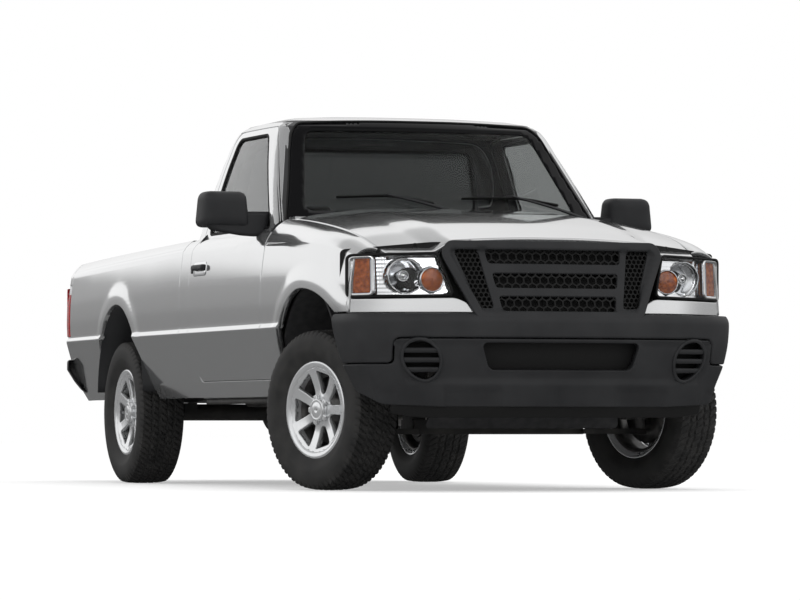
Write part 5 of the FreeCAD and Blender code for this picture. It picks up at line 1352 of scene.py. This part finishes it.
# %% [markdown]
# ## Wheels and tyres
# A wheel is turned on its axle, so most of it is a profile spun round. Its face is a plate with seven
# openings, crowned along each spoke, with a groove down the middle of each. All four wheels share the same
# shapes. The front ones are then turned about their kingpins, as the truck is parked.

# %% Spun profiles and placing
TYRE_R = 342.0
FRONT_TRACK_X, REAR_TRACK_X, KINGPIN_X = 743.0, 731.0, 690.0
PARKED = math.radians(18.0)


def spun(profile, sides=96, close=False):
    """A profile of (out along the axle, radius) pairs, each point of which sweeps a circle."""
    profile = np.asarray(profile, float)
    angle = np.linspace(0, 2 * np.pi, sides, endpoint=False)
    rows = np.stack([np.stack([np.full(sides, out), radius * np.cos(angle), radius * np.sin(angle)], 1)
                     for out, radius in profile])
    return grid(rows, close_u=close, close_v=True)


def smoothed(points, count):
    """More points on a smooth curve through a few, spaced by the run between them."""
    points = np.asarray(points, float)
    run = np.r_[0, np.cumsum(np.linalg.norm(np.diff(points, axis=0), axis=1))]
    at = np.linspace(0, run[-1], count)
    return np.stack([through(run, points[:, 0], at), through(run, points[:, 1], at)], 1)


def on_axle(part, side, front):
    """A part made round the x axis, put on one wheel's axle; the front ones turn about their kingpins."""
    points, faces = part
    if side < 0:
        points, faces = mirrored(part)
    x = side * (FRONT_TRACK_X if front else REAR_TRACK_X)
    points = np.asarray(points) + (x, FRONT_AXLE if front else REAR_AXLE, TYRE_R)
    if front:
        pivot = np.array([side * KINGPIN_X, FRONT_AXLE, 0])
        cosine, sine = math.cos(PARKED), math.sin(PARKED)
        turn = np.array([[cosine, -sine, 0], [sine, cosine, 0], [0, 0, 1]])
        points = (points - pivot) @ turn.T + pivot
    return points, faces


# %% [markdown]
# The tread has four wavy grooves round it and cross grooves at every block. The rubber stands between
# them, so the surface is the tyre's round profile less the depth of the nearest groove.

# %% Tyre
BLOCKS = 68
side_run = smoothed([(-76, 203), (-86, 207), (-101, 232), (-112, 262), (-112.5, 292), (-108, 314),
                     (-102, 328)], 12)
tread_x = np.concatenate([np.linspace(-97, -62, 7), np.linspace(-60, -47, 6), np.linspace(-42, -28, 4),
                          np.linspace(-26, -14, 6), np.linspace(-10, 10, 5)])
tread_x = np.unique(np.concatenate([tread_x, -tread_x]))
crown = 342.0 - 7.0 * np.abs(tread_x / 100) ** 3
tyre_profile = np.concatenate([side_run, np.stack([tread_x, crown], 1), (side_run * (-1, 1))[::-1]])
turns = np.linspace(0, 2 * np.pi, BLOCKS * 6, endpoint=False)
out, turn_angle = np.meshgrid(tyre_profile[:, 0], turns)
radius = np.broadcast_to(tyre_profile[:, 1], out.shape).copy()
phase = turn_angle * BLOCKS / (2 * np.pi)
sway = 2.5 * (2 * np.abs((phase * 0.5) % 1 - 0.5) * 2 - 1)
groove = np.zeros_like(out)
for middle, width in ((-53.0, 5.0), (-20.0, 4.5), (20.0, 4.5), (53.0, 5.0)):
    groove = np.maximum(groove, np.clip((width + 1.2 - np.abs(out - middle - sway)) / 1.6, 0, 1))
slant = phase + out / 46.0
lane = np.where(np.abs(out) > 55, 0.0, np.where(np.abs(out) > 21, 0.5, 0.25))
cross = np.clip((0.17 - np.abs((slant + lane) % 1 - 0.5)) / 0.08, 0, 1) * (np.abs(out) < 104)
fine = np.clip((0.05 - np.abs((slant + lane + 0.5) % 1 - 0.5)) / 0.03, 0, 1) * (np.abs(out) < 92) * 0.35
tread = np.clip((108 - np.abs(out)) / 4, 0, 1) * (radius > 318)
radius -= 7.5 * np.maximum(groove, np.maximum(cross, fine)) * tread
ridge = (np.abs(tyre_profile[:, 1] - 300) < 3) * 1.5 + (np.abs(tyre_profile[:, 1] - 226) < 4) * 1.2
out = out + np.sign(out) * ridge[None]
tyre_rows = np.stack([out, radius * np.cos(turn_angle), radius * np.sin(turn_angle)], -1)
tyre = grid(tyre_rows, close_u=True)
print("tyre points", len(tyre[0]))

# %% Wheel face
SPOKES = 7
WINDOW_NEAR, WINDOW_FAR = 74.0, 168.0


def wheel_window(middle):
    """An opening between two spokes: narrow near the hub and wide towards the rim."""
    near, far = math.radians(11.0), math.radians(18.0)
    corner = [(WINDOW_NEAR, -near), (WINDOW_NEAR, near), (WINDOW_FAR, far), (WINDOW_FAR, -far)]
    return rounded([(r * math.cos(middle + a), r * math.sin(middle + a)) for r, a in corner],
                   [10, 10, 13, 13], step=5.0)


def wheel_face(u, v):
    """The plate's height along the axle: a shallow cone with a groove of 7 mm down each spoke."""
    r = np.hypot(u, v)
    turn = np.arctan2(v, u)
    off = np.abs(((turn * SPOKES / (2 * np.pi)) % 1) - 0.5) * 2
    across = r * (1 - off) * np.pi / SPOKES
    base = through([0, 50, 80, 150, 170, 184], [60, 60, 59, 70, 77, 83], np.clip(r, 0, 184))
    groove_depth = (7.0 * np.clip((8 - across) / 3, 0, 1) * np.clip((r - 66) / 8, 0, 1)
                    * np.clip((160 - r) / 10, 0, 1))
    return np.stack([base - groove_depth, u, v], 1)


spin = np.linspace(0, 2 * np.pi, SPOKES, endpoint=False)
wheel_ring = np.stack([182 * np.cos(circle), 182 * np.sin(circle)], 1)
wheel_plate = panel(wheel_face, wheel_ring, [wheel_window(angle) for angle in spin], step=7.0, fold=3.5,
                    flange=22.0)
rim = spun([(80, 179), (84, 183), (87, 189), (89, 196), (89.5, 202), (88, 207), (84, 209), (80, 207),
            (78, 202), (70, 193), (50, 190), (40, 176), (-60, 176), (-72, 188), (-82, 196), (-89, 205),
            (-89, 209), (-85, 209), (-84, 199), (-74, 184), (-58, 170), (38, 170), (60, 172), (72, 175)],
           120, close=True)
cap = spun([(52, 49), (76, 48), (80, 46), (82, 42), (81, 38), (80, 34), (81.5, 30), (83, 15), (83.5, 0.5)],
           56)
tabs = []
for index in range(5):
    angle = 2 * np.pi * index / 5
    line = rounded([(38, -12), (66, -13), (66, 13), (38, 12)], 7, step=3.0)
    line = line @ np.array([[math.cos(angle), math.sin(angle)], [-math.sin(angle), math.cos(angle)]])
    tabs.append(pad(line, 56.0, 76.0, 5.0,
                    lambda points: np.stack([points[..., 2], points[..., 0], points[..., 1]], -1)))
brake = spun([(-12, 20), (-12, 140), (10, 140), (10, 84), (38, 80), (38, 20)], 64)
drum = spun([(-48, 20), (-48, 138), (-40, 146), (20, 146), (30, 138), (38, 120), (38, 20)], 64)
hub_back = spun([(46, 20), (46, 76), (30, 82), (-6, 70), (-6, 20)], 40)
barrel = spun([(36, 168.8), (-58, 168.8), (-73, 182.5)], 96)
disc_steel = finish("bare_disc", (0.1, 0.1, 0.1), metallic=0.7, roughness=0.45)
vary_roughness(disc_steel, noise(disc_steel, 60.0), 0.3, 0.5)
vary_color(disc_steel, noise(disc_steel, 25.0), (0.05, 0.05, 0.05), (0.14, 0.135, 0.13))
for axle in ("front", "rear"):
    for hand, side in (("left", 1), ("right", -1)):
        name, ahead = axle + "_" + hand, axle == "front"
        rider = "wheel_" + name
        piece("tyre_tread_" + name, *on_axle(outward(tyre, True), side, ahead), rubber, body=rider,
              slot="tyre_rubber", smooth=False)
        piece("wheel_face_" + name, *on_axle(joined(wheel_plate, outward(cap, True),
                                                    *[closed(tab) for tab in tabs]), side, ahead),
              alloy, body=rider, slot="wheel_alloy", solid=2.0)
        piece("wheel_rim_" + name, *on_axle(closed(rim), side, ahead), alloy, body=rider, slot="wheel_alloy")
        piece("brake_" + name, *on_axle(joined(brake if ahead else drum, hub_back), side, ahead), disc_steel,
              body=rider, slot="castings", solid=3.0)
        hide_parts("tyre_" + name)
        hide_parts("wheel_" + name)
        piece("wheel_barrel_" + name, *on_axle(barrel, side, ahead), disc_steel, body=rider,
              slot="wheel_alloy", solid=0.8)
for name in made:
    if name.startswith("tyre_tread"):
        mesh = made[name].data
        mesh.polygons.foreach_set("use_smooth", np.ones(len(mesh.polygons), bool))
        mesh.set_sharp_from_angle(angle=math.radians(28))
print("wheel face points", len(wheel_plate[0]))

# %% [markdown]
# ## Glass and what lies round it
# The windshield lies over the edge of its opening, as bonded glass does. A black band round its edge hides
# the glue, and a rubber lip closes the gap to the pillars. Light goes through every pane twice, so a pane's
# colour is the square root of its tint at each face.

# %% Glass finishes
screen_glass = finish("windshield_glass", (0.9, 0.92, 0.91), roughness=0.0, transmission=1.0, ior=1.12)
vary_roughness(screen_glass, noise(screen_glass, 8.0), 0.0, 0.015)
window_glass = finish("window_glass", (0.6, 0.62, 0.62), roughness=0.0, transmission=1.0, ior=1.45)
vary_roughness(window_glass, noise(window_glass, 8.0), 0.0, 0.015)
black_glass = finish("black_glass_band", (0.004, 0.004, 0.0045), roughness=0.1, specular=0.12)
vary_roughness(black_glass, noise(black_glass, 200.0), 0.06, 0.16)
mirror_glass = finish("mirror_glass", (0.8, 0.82, 0.84), metallic=1.0, roughness=0.02)
vary_roughness(mirror_glass, noise(mirror_glass, 30.0), 0.01, 0.03)
for hand in ("left", "right"):
    made["door_pane_" + hand].data.materials[0] = window_glass
print("materials", len(bpy.data.materials))


# %% The greenhouse's front and back
def front_face(out):
    """The greenhouse's front as a surface of (x, z): a parabola across each level, moved out a little."""
    def lift(x, z):
        corner_x, corner_y, middle = level(z, 2), level(z, 3), level(z, 4)
        return np.stack([x, middle + (corner_y - middle) * (x / corner_x) ** 2 - out, z], 1)
    return lift


def rear_face(out):
    """The cab's flat rear wall as a surface of (x, z)."""
    def lift(x, z):
        return np.stack([x, level(z, 5) + out, z], 1)
    return lift


def corner_line_at(heights, inset):
    """Points down the windshield's left edge, an inset inside the pillar's corner."""
    return [(level(float(z), 2) - inset, float(z)) for z in heights]


edge_points = corner_line_at((1162, 1254, 1377), 8) + corner_line_at((1500, 1590), 3)
top_edge = [(556.0, 1634.0), (400.0, 1642.0), (200.0, 1646.0)]
half_screen = edge_points + top_edge
screen_corners = half_screen + [(-x, z) for x, z in half_screen[::-1]]
screen_line = rounded(screen_corners, [26, 40, 40, 40, 40, 44, 60, 80, 80, 60, 44, 40, 40, 40, 40, 26])
band_hole = rounded([(640, 1224), (534, 1600), (-534, 1600), (-640, 1224)], 44)
screen = panel(front_face(4.0), screen_line, step=26.0, fold=0, flange=0)
band = panel(front_face(4.6), screen_line, [band_hole], step=18.0, fold=0, flange=7.0)
screen_lip = strip_round(front_face(0.0), screen_line, (-4, -4, -2, 1, 3), (-2.0, 3.5, 6.0, 6.0, 3.0))
REAR_GLASS = [(-600.0, 1180.0), (600.0, 1180.0), (530.0, 1560.0), (-530.0, 1560.0)]
rear_line = rounded(REAR_GLASS, 60)
rear_glass = finish("rear_window_glass", (0.1, 0.105, 0.105), roughness=0.0, transmission=1.0, ior=1.45)
vary_roughness(rear_glass, noise(rear_glass, 8.0), 0.0, 0.015)
rear_pane = panel(rear_face(-6.0), rear_line, step=30.0, fold=0, flange=0, flip=True)
rear_lip = strip_round(rear_face(0.0), rear_line, (-12, -11, -4, 6, 8, 8), (-2.0, 3.0, 5.0, 4.0, -2.0, -12.0))
piece("windshield_pane", *screen, screen_glass, slot="window_glass", solid=4.0)
piece("windshield_band", *band, black_glass, slot="window_glass")
piece("windshield_lip", *outward(screen_lip, True), seal_and_shade_black, slot="charcoal_moulding", solid=1.0)
piece("rear_pane", *rear_pane, rear_glass, slot="window_glass", solid=4.0)
piece("rear_window_lip", *rear_lip, seal_and_shade_black, slot="charcoal_moulding", solid=1.0)
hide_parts("cab_glass")
print("windshield points", len(screen[0]))

# %% [markdown]
# The cab's own side skin is what the door leaves: the pillar in front of it, the rail over it, the strip
# behind it and the sill below. It carries the same two creases across to the bed.

# %% Cab side skin
PILLAR_TOP = 1640.0
pillar = [(float(level(z, 3)) + 2, float(z)) for z in np.linspace(1170, PILLAR_TOP, 12)]
rear_edge = [(float(level(z, 5)) - 1.5, float(z)) for z in np.linspace(PILLAR_TOP, TOP, 10)]
around_door = inwards(rounded(DOOR_OUTLINE, DOOR_CORNERS), -2.5)
start = int(np.argmin(np.linalg.norm(around_door - (DOOR_FRONT + 30, 478 - 2.5), axis=1)))
end = int(np.argmin(np.linalg.norm(around_door - (-900, 1180), axis=1)))
past_door = np.roll(around_door, -start, axis=0)[:(end - start) % len(around_door) + 1]
side_line = np.concatenate([pillar, rear_edge, [(BED_FRONT - 5, 1080), (BED_FRONT - 5, ROCKER + 2),
                                                (DOOR_FRONT + 30, ROCKER + 2)], past_door])
cab_skin = panel(lambda y, z: cab_side(y, z) + np.outer(1.5 * np.clip((z - 1100) / 40, 0, 1), (1, 0, 0)),
                 spaced(side_line), step=18.0, fold=1.5, flange=14.0, rows=CREASE_ROWS)
for hand, turn in BOTH_HANDS:
    piece("cab_side_skin_" + hand, *turn(cab_skin), paint, solid=1.0)
print("cab skin points", len(cab_skin[0]))


# %% [markdown]
# The shell of the cab is painted outside and trimmed inside. One finish does both: a mask by place, drawn
# a little inside the outer skin, turns the silver into the dark trim. Its planes lie in metres, as the
# object's own coordinates do.

# %% Finish of the cab shell
shell_paint = finish("cab_shell_paint", (0.6, 0.6, 0.6), metallic=0.9, roughness=0.15, coat=1.0,
                     coat_roughness=0.02)
TRIM_PLANES = [((1.0, 0.0, 0.33), 1.141), ((1.0, 0.0, 0.0), 0.815), ((0.0, -0.74, 0.67), 1.532),
               ((0.0, 1.0, 0.28), 0.5035), ((0.0, 0.0, 1.0), 1.652)]


def trim_mask(material, planes, softness=0.003):
    """One inside all the planes and nought outside: each plane is a direction and how far along it lies."""
    tree = material.node_tree
    place = add_node(tree, "TexCoord").outputs["Object"]
    across = add_node(tree, "SeparateXYZ", {0: place}).outputs
    side = add_node(tree, "Math", {0: across["X"]}, operation="ABSOLUTE").outputs[0]
    half = add_node(tree, "CombineXYZ", {"X": side, "Y": across["Y"], "Z": across["Z"]}).outputs[0]
    result = None
    for direction, reach in planes:
        along = add_node(tree, "VectorMath", {0: half, 1: direction}, operation="DOT_PRODUCT")
        share = add_node(tree, "MapRange", {"From Min": reach, "From Max": reach - softness,
                                            "Value": along.outputs["Value"]}).outputs[0]
        if result is None:
            result = share
        else:
            result = add_node(tree, "Math", {0: result, 1: share}, operation="MULTIPLY").outputs[0]
    return result


inside = trim_mask(shell_paint, TRIM_PLANES)
vary_color(shell_paint, inside, (0.74, 0.746, 0.752), (0.02, 0.02, 0.021), 0.3, 0.7)
vary_roughness(shell_paint, inside, 0.12, 0.8)
span = add_node(shell_paint.node_tree, "MapRange", {"To Min": 0.9, "To Max": 0.0, "Value": inside})
feed(shell_paint, span.outputs[0], "Metallic")
print("trim planes", len(TRIM_PLANES))

# %% [markdown]
# The rest of the cab is the model's own mesh. A copy of it is merged, and below the windows its outer
# sides are drawn in behind the side skins, so that only the skins show there.

# %% Cab shell
SHELL_DEPTH, SHELL_TOP, SHELL_FRONT = 9, 1142, -1120
shell_points, shell_faces = copied("cab")
shell_x, shell_y, shell_z = shell_points.T
skin_x = cab_side(shell_y, shell_z)[:, 0] - SHELL_DEPTH
under_skin = (shell_z < SHELL_TOP) & (shell_y > SHELL_FRONT) & (np.abs(shell_x) > skin_x)
shell_points[:, 0] = np.where(under_skin, np.sign(shell_x) * skin_x, shell_x)
piece("cab_shell", shell_points, shell_faces, shell_paint)
made["cab_shell"].data.set_sharp_from_angle(angle=math.radians(14))
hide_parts("cab")
print("cab shell points", len(shell_points), "of them drawn in", int(under_skin.sum()))

# %% [markdown]
# ## Wipers and cowl
# Two wipers park on the windshield's lower edge. Each is a sprung arm from the cowl and a slim blade.


# %% Wipers
def swept(line, widths, heights):
    """A bar of flat section along points: its width lies across the line and its height stands up from the
    windshield."""
    line = np.asarray(line, float)
    ahead = np.gradient(line, axis=0)
    ahead /= np.linalg.norm(ahead, axis=1)[:, None]
    flat = front_face(0.0)
    rise = normal_of(flat, line[:, 0], line[:, 2])
    across = np.cross(ahead, rise)
    across /= np.linalg.norm(across, axis=1)[:, None]
    widths = np.broadcast_to(widths, len(line))[:, None] / 2
    heights = np.broadcast_to(heights, len(line))[:, None]
    rows = np.stack([line - across * widths, line - across * widths * 0.8 + rise * heights,
                     line + across * widths * 0.8 + rise * heights, line + across * widths], 1)
    points, faces = grid(rows, close_v=True)
    last = len(points) - 4
    return closed((points, faces + [[0, 1, 2, 3], [last + 3, last + 2, last + 1, last]]))


def on_screen(points, out):
    """Points of (x, z) put on the windshield, a height above it."""
    points = np.asarray(points, float)
    place = front_face(0.0)(points[:, 0], points[:, 1])
    return place + normal_of(front_face(0.0), points[:, 0], points[:, 1]) * np.reshape(out, (-1, 1))


WIPERS = [((-489, 1279), (-270, 1286), (-60, 1254), (96, 1178)),
          ((80, 1279), (330, 1286), (560, 1258), (690, 1180))]
arms, blades = [], []
for tip, middle, end, pivot in WIPERS:
    run = smoothed([tip, middle, end], 22)
    blades.append(swept(on_screen(run, 7.0), np.linspace(5, 9, 22), 11.0))
    blades.append(swept(on_screen(run, 4.0), 3.0, 6.0))
    reach = smoothed([middle, ((middle[0] + pivot[0]) / 2, (middle[1] + pivot[1]) / 2 + 6), pivot], 14)
    arms.append(swept(on_screen(reach, np.linspace(20, 26, 14)), np.linspace(9, 18, 14), 7.0))
piece("wiper_blades", *joined(*blades), seal_and_shade_black, slot="charcoal_moulding", smooth=False)
piece("wiper_arms", *joined(*arms), charcoal, slot="charcoal_moulding", smooth=False)
print("wipers", len(arms))


# %% Cowl
def cowl_surface(x, y):
    """The cowl grille: a shallow crown with fine slots across the truck's length."""
    inside = (np.abs(x) < 560) & (y > -1066) & (y < -1030)
    slots = np.clip(np.sin(x / 14.0 * 2 * np.pi) * 3, -1, 1) * 2.0 * inside
    return np.stack([x, y, 1193.0 - (x / 740) ** 2 * 4 + slots], 1)


cowl_line = rounded([(-728, -1074), (728, -1074), (728, -985), (-728, -985)], 20)
cowl = panel(cowl_surface, cowl_line, step=9.0, fold=2.0, flange=8.0)
piece("cowl_grille", *cowl, charcoal, slot="charcoal_moulding", solid=2.0)
print("cowl points", len(cowl[0]))

# %% [markdown]
# ## Door mirrors
# A mirror's head is a deep shell, rounded in front and open behind, where its glass sits. A broad foot runs
# from its lower edge to the door.

# %% Mirrors
HEAD = [(1078, 1152), (1062, 1312), (868, 1312), (848, 1150)]
head_line = rounded(HEAD, [34, 40, 34, 26], step=7.0)
stations = ((-824, 0.4), (-823, 0.62), (-819, 0.76), (-810, 0.87), (-794, 0.95), (-768, 0.99), (-730, 1.0),
            (-700, 0.995), (-690, 0.97), (-688, 0.94), (-692, 0.91), (-704, 0.9))
head_middle = head_line.mean(0)
rows = []
for y, share in stations:
    line = head_middle + (head_line - head_middle) * share
    rows.append(np.stack([line[:, 0], np.full(len(line), float(y)), line[:, 1]], 1))
count = len(head_line)
head_points, head_faces = grid(np.stack(rows), close_v=True)
head_faces = head_faces + [list(range(count)), list(range(len(head_points) - count, len(head_points)))]
head = closed((head_points, head_faces))
foot_line = rounded([(1040, 1152), (900, 1130), (822, 1126), (772, 1140), (760, 1166), (760, 1206),
                     (850, 1206), (1040, 1190)], [12, 30, 30, 24, 20, 12, 16, 20], step=7.0)
foot = pad(foot_line, -735.0, -806.0, -16.0,
           lambda points: np.stack([points[..., 0], points[..., 2], points[..., 1]], -1))
mirror_line = inwards(head_line, 15)
glass = panel(lambda x, z: np.stack([x, -700.0 + 3 * ((x - 965) / 100) ** 2, z], 1), mirror_line,
              step=20.0, fold=0, flange=0, flip=True)
for hand, turn in BOTH_HANDS:
    piece("mirror_head_" + hand, *turn(head), charcoal, body="door_" + hand, slot="charcoal_moulding")
    piece("mirror_foot_" + hand, *turn(closed(foot)), charcoal, body="door_" + hand, slot="charcoal_moulding")
    piece("mirror_glass_" + hand, *turn(glass), mirror_glass, body="door_" + hand, slot="charcoal_moulding",
          solid=2.0)
    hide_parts("mirror_" + hand)
print("mirror points", len(head[0]))

# %% [markdown]
# ## Tail lamps and rear bumper
# Each tail lamp wraps the bed's rear corner in two faces, ribbed inside, with a clear band for reversing.


# %% Tail lamps
def lamp_side(y, q):
    """The bed's side drawn out a little, with fine upright ribs."""
    place = body(y, q)
    place[:, 0] += 2.0 + 0.8 * np.clip(np.sin(y / 5.0 * 2 * np.pi) * 2, -1, 1) * (y < BED_END - 14)
    return place


def lamp_rear(x, z):
    """The lamp's face to the rear, with fine level ribs."""
    ribs = np.clip(np.sin(z / 6.0 * 2 * np.pi) * 2, -1, 1) * 0.8
    return np.stack([x, BED_END + 1.0 + ribs - np.clip((x - 800) / 25, 0, 1) ** 2 * 3, z], 1)


LAMP_LOW, LAMP_HIGH = 728.0, 968.0
side_box = [(BED_END - 58, LAMP_LOW), (BED_END, LAMP_LOW), (BED_END, LAMP_HIGH), (BED_END - 58, LAMP_HIGH)]
side_lens = panel(lamp_side, spaced(rounded(side_box, 6)), step=6.0, fold=0, flange=4.0)
outer_x = float(body([BED_END - 4.0], [850.0])[0, 0]) + 1.0
rear_box = [(704, LAMP_LOW), (outer_x, LAMP_LOW), (outer_x, LAMP_HIGH), (704, LAMP_HIGH)]
rear_lens = panel(lamp_rear, rounded(rear_box, 8), step=7.0, fold=0, flange=6.0, flip=True)
clear_box = [(712, 778), (outer_x - 6, 778), (outer_x - 6, 838), (712, 838)]
reverse_lens = panel(lambda x, z: lamp_rear(x, z) + np.array([0, 1.5, 0]), rounded(clear_box, 8), step=6.0,
                     fold=1.5, flange=4.0, flip=True)
for hand, turn in BOTH_HANDS:
    piece("tail_lens_" + hand, *turn(joined(side_lens, rear_lens)), red_lens, slot="tail_lens", solid=2.0)
    piece("reverse_lens_" + hand, *turn(reverse_lens), silvered, slot="tail_lens", solid=1.5)
    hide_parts("tail_lamps")
print("tail lens points", len(side_lens[0]) + len(rear_lens[0]))

# %% [markdown]
# The rear bumper is one pressed bar. Its plan bows back across the truck and turns forwards at its ends, and
# its section tucks under, as the bed's lower corners do. Its top holds ribbed treads.

# %% Rear bumper
BUMPER_PLAN = np.array([(0, 2405), (230, 2403), (480, 2397), (680, 2380), (790, 2340), (826, 2290),
                        (832, 2246)], float)
BUMPER_SECTION = [(-36, 606), (-8, 606), (-2, 603), (0, 596), (0, 560), (-4, 500), (-14, 462), (-26, 448),
                  (-50, 446)]
plan_run = np.r_[0, np.cumsum(np.linalg.norm(np.diff(BUMPER_PLAN, axis=0), axis=1))]
at = np.concatenate([[0, 110, 226, 234], np.linspace(260, plan_run[-1], 44)])
plan = np.stack([through(plan_run, BUMPER_PLAN[:, k], at) for k in (0, 1)], 1)
along = np.gradient(plan, at, axis=0)
sideways = np.stack([-along[:, 1], along[:, 0]], 1)
sideways /= np.linalg.norm(sideways, axis=1)[:, None]
rows = []
for inset, z in BUMPER_SECTION:
    tuck = np.clip((560 - z) / 114, 0, 1) * np.clip((at - 600) / 250, 0, 1) * 60
    low_step = np.where((at < 230) & (z > 545), 545.0 - (606 - z) * 0.02, z)
    rows.append(np.stack([plan[:, 0] + sideways[:, 0] * inset - tuck,
                          plan[:, 1] + sideways[:, 1] * inset - tuck * 0.4,
                          low_step], 1))
bar_skin = grid(np.stack(rows))
treads = []
for centre in (330, 430, 530):
    for y in (2345, 2356, 2367, 2378):
        line = rounded([(centre - 38, y), (centre + 38, y), (centre + 38, y + 5), (centre - 38, y + 5)], 2.4,
                       step=20.0)
        treads.append(closed(pad(line, 603.0, 609.0, 1.0, lambda points: points)))
bumper_black = finish("rear_bumper_black", (0.02, 0.02, 0.021), roughness=0.4, coat=0.3, coat_roughness=0.2)
vary_roughness(bumper_black, noise(bumper_black, 120.0), 0.34, 0.5)
vary_color(bumper_black, noise(bumper_black, 12.0), (0.015, 0.015, 0.016), (0.026, 0.026, 0.027))
piece("rear_bumper_bar", *joined(bar_skin, mirrored(bar_skin)), bumper_black,
      slot="bumper_steel", solid=3.0)
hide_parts("rear_bumper")
for hand, turn in BOTH_HANDS:
    piece("bumper_treads_" + hand, *turn(joined(*treads)), bumper_black, slot="bumper_steel")
print("rear bumper points", len(bar_skin[0]))

# %% [markdown]
# ## Bench
# Two seats side by side make the bench. Each has a base cushion, a back and a headrest, which are crowned
# forms of woven cloth with sewn channels, on a moulded plinth beside the tunnel.

# %% Cloth
cloth = finish("woven_cloth", (0.05, 0.05, 0.052), roughness=0.9, specular=0.2, sheen=0.3)
weave_scale = noise(cloth, 420.0, detail=2.0)
vary_color(cloth, weave_scale, (0.03, 0.03, 0.032), (0.075, 0.075, 0.078))
grain(cloth, weave_scale, 0.5, 0.001)
vary_roughness(cloth, noise(cloth, 30.0), 0.84, 0.96)
print("cloth nodes", len(cloth.node_tree.nodes))


# %% Cushions
def cushion(middle, half_u, half_v, thick, lift, seams=()):
    """A padded form: its outline shrinks over its rounded edge to both faces. The sides pull in a little
    between the corners, and each seam presses a groove of 9 mm into both faces across its width."""
    u, v = half_u, half_v
    corners = [(-u, -v), (0, -v * 0.97), (u, -v), (u * 0.97, 0), (u, v), (0, v * 0.97), (-u, v),
               (-u * 0.97, 0)]
    outline = rounded(corners, [60, 80, 60, 80, 60, 80, 60, 80], step=14.0)
    rows = []
    for angle in np.linspace(-np.pi / 2 + 0.04, np.pi / 2 - 0.04, 25):
        share = math.cos(angle) ** 0.45
        flat = outline * share
        height = np.sign(angle) * abs(math.sin(angle)) ** 0.8 * thick / 2
        groove = sum((np.exp(-((flat[:, 0] - place) / 6) ** 2) for place in seams), np.zeros(len(flat)))
        rows.append(np.c_[flat + middle, height * (1 - groove * 9 / (thick / 2))])
    points, faces = grid(lift(np.stack(rows)), close_v=True)
    count = len(outline)
    faces += [list(range(count)), list(range(len(points) - count, len(points)))]
    return closed((points, faces))


def seat_base(points):
    """A base cushion has its middle at 722 mm and rises 5 mm in 100 to the front."""
    u, v, height = points[..., 0], points[..., 1], points[..., 2]
    return np.stack([u, v, 722 - 0.05 * (v + 225) + height], -1)


def seat_back(points):
    """A back has its middle at 60 mm and leans back 4 mm in 100."""
    u, v, height = points[..., 0], points[..., 1], points[..., 2]
    return np.stack([u, 60 + 0.04 * (v - 900) + height, v], -1)


for hand, side in (("left", 1), ("right", -1)):
    middle = side * 311.0
    soft = {"seat_base_": cushion((middle, -226), 297, 236, 150, seat_base, (-150, 150)),
            "seat_back_": cushion((middle, 930), 297, 225, 120, seat_back, (-150, 150)),
            "headrest_": cushion((middle, 1228), 130, 66, 96, seat_back)}
    for name, part in soft.items():
        piece(name + hand, *part, cloth, slot="seat_cloth")
        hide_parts("bench_seat")
    corners = [(side * 205, -430), (side * 600, -430), (side * 600, 108), (side * 205, 108)][::side]
    plinth = pad(rounded(corners, 30), 528.0, 664.0, 14.0, lambda points: points)
    piece("seat_plinth_" + hand, *closed(plinth), charcoal, slot="seat_cloth")
print("cushion points", [len(part[0]) for part in soft.values()])

# %% [markdown]
# ## Below the sills
# A welded seam hangs below each sill, where the inner and outer panels meet.

# %% Sill seams
seam = panel(lambda y, z: np.stack([np.full_like(y, 742.0), y, z], 1),
             rounded([(-992, 374), (205, 374), (205, 406), (-992, 406)], 8), step=20.0, fold=0, flange=0)
for hand, turn in BOTH_HANDS:
    piece("sill_seam_" + hand, *turn(seam), steel, slot="frame_paint", solid=4.0)
print("sill seam points", len(seam[0]))

# %% [markdown]
# A moulded shield below the radiator closes the gap between the bumper's lower edge and the suspension.
# It leans back towards its lower edge and its ends are drawn rearwards.

# %% Engine shield
SHIELD_TOP, SHIELD_Y, SHIELD_LEAN, SHIELD_SWEEP = 352, -1990, 0.5, 18


def shield_face(x, z):
    """The shield's surface: a plane that leans back downwards, bent to a parabola across the truck."""
    return np.stack([x, SHIELD_Y + SHIELD_LEAN * (SHIELD_TOP - z) + SHIELD_SWEEP * (x / 400) ** 2, z], 1)


shield_line = rounded([(-440, 262), (440, 262), (420, SHIELD_TOP), (-420, SHIELD_TOP)], 24, step=12.0)
engine_shield = panel(shield_face, shield_line, step=24.0, fold=3.0, flange=12.0)
piece("engine_shield", *engine_shield, liner, slot="liner_plastic", solid=2.5)
print("shield points", len(engine_shield[0]))

# %% Sizes and the end
low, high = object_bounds()
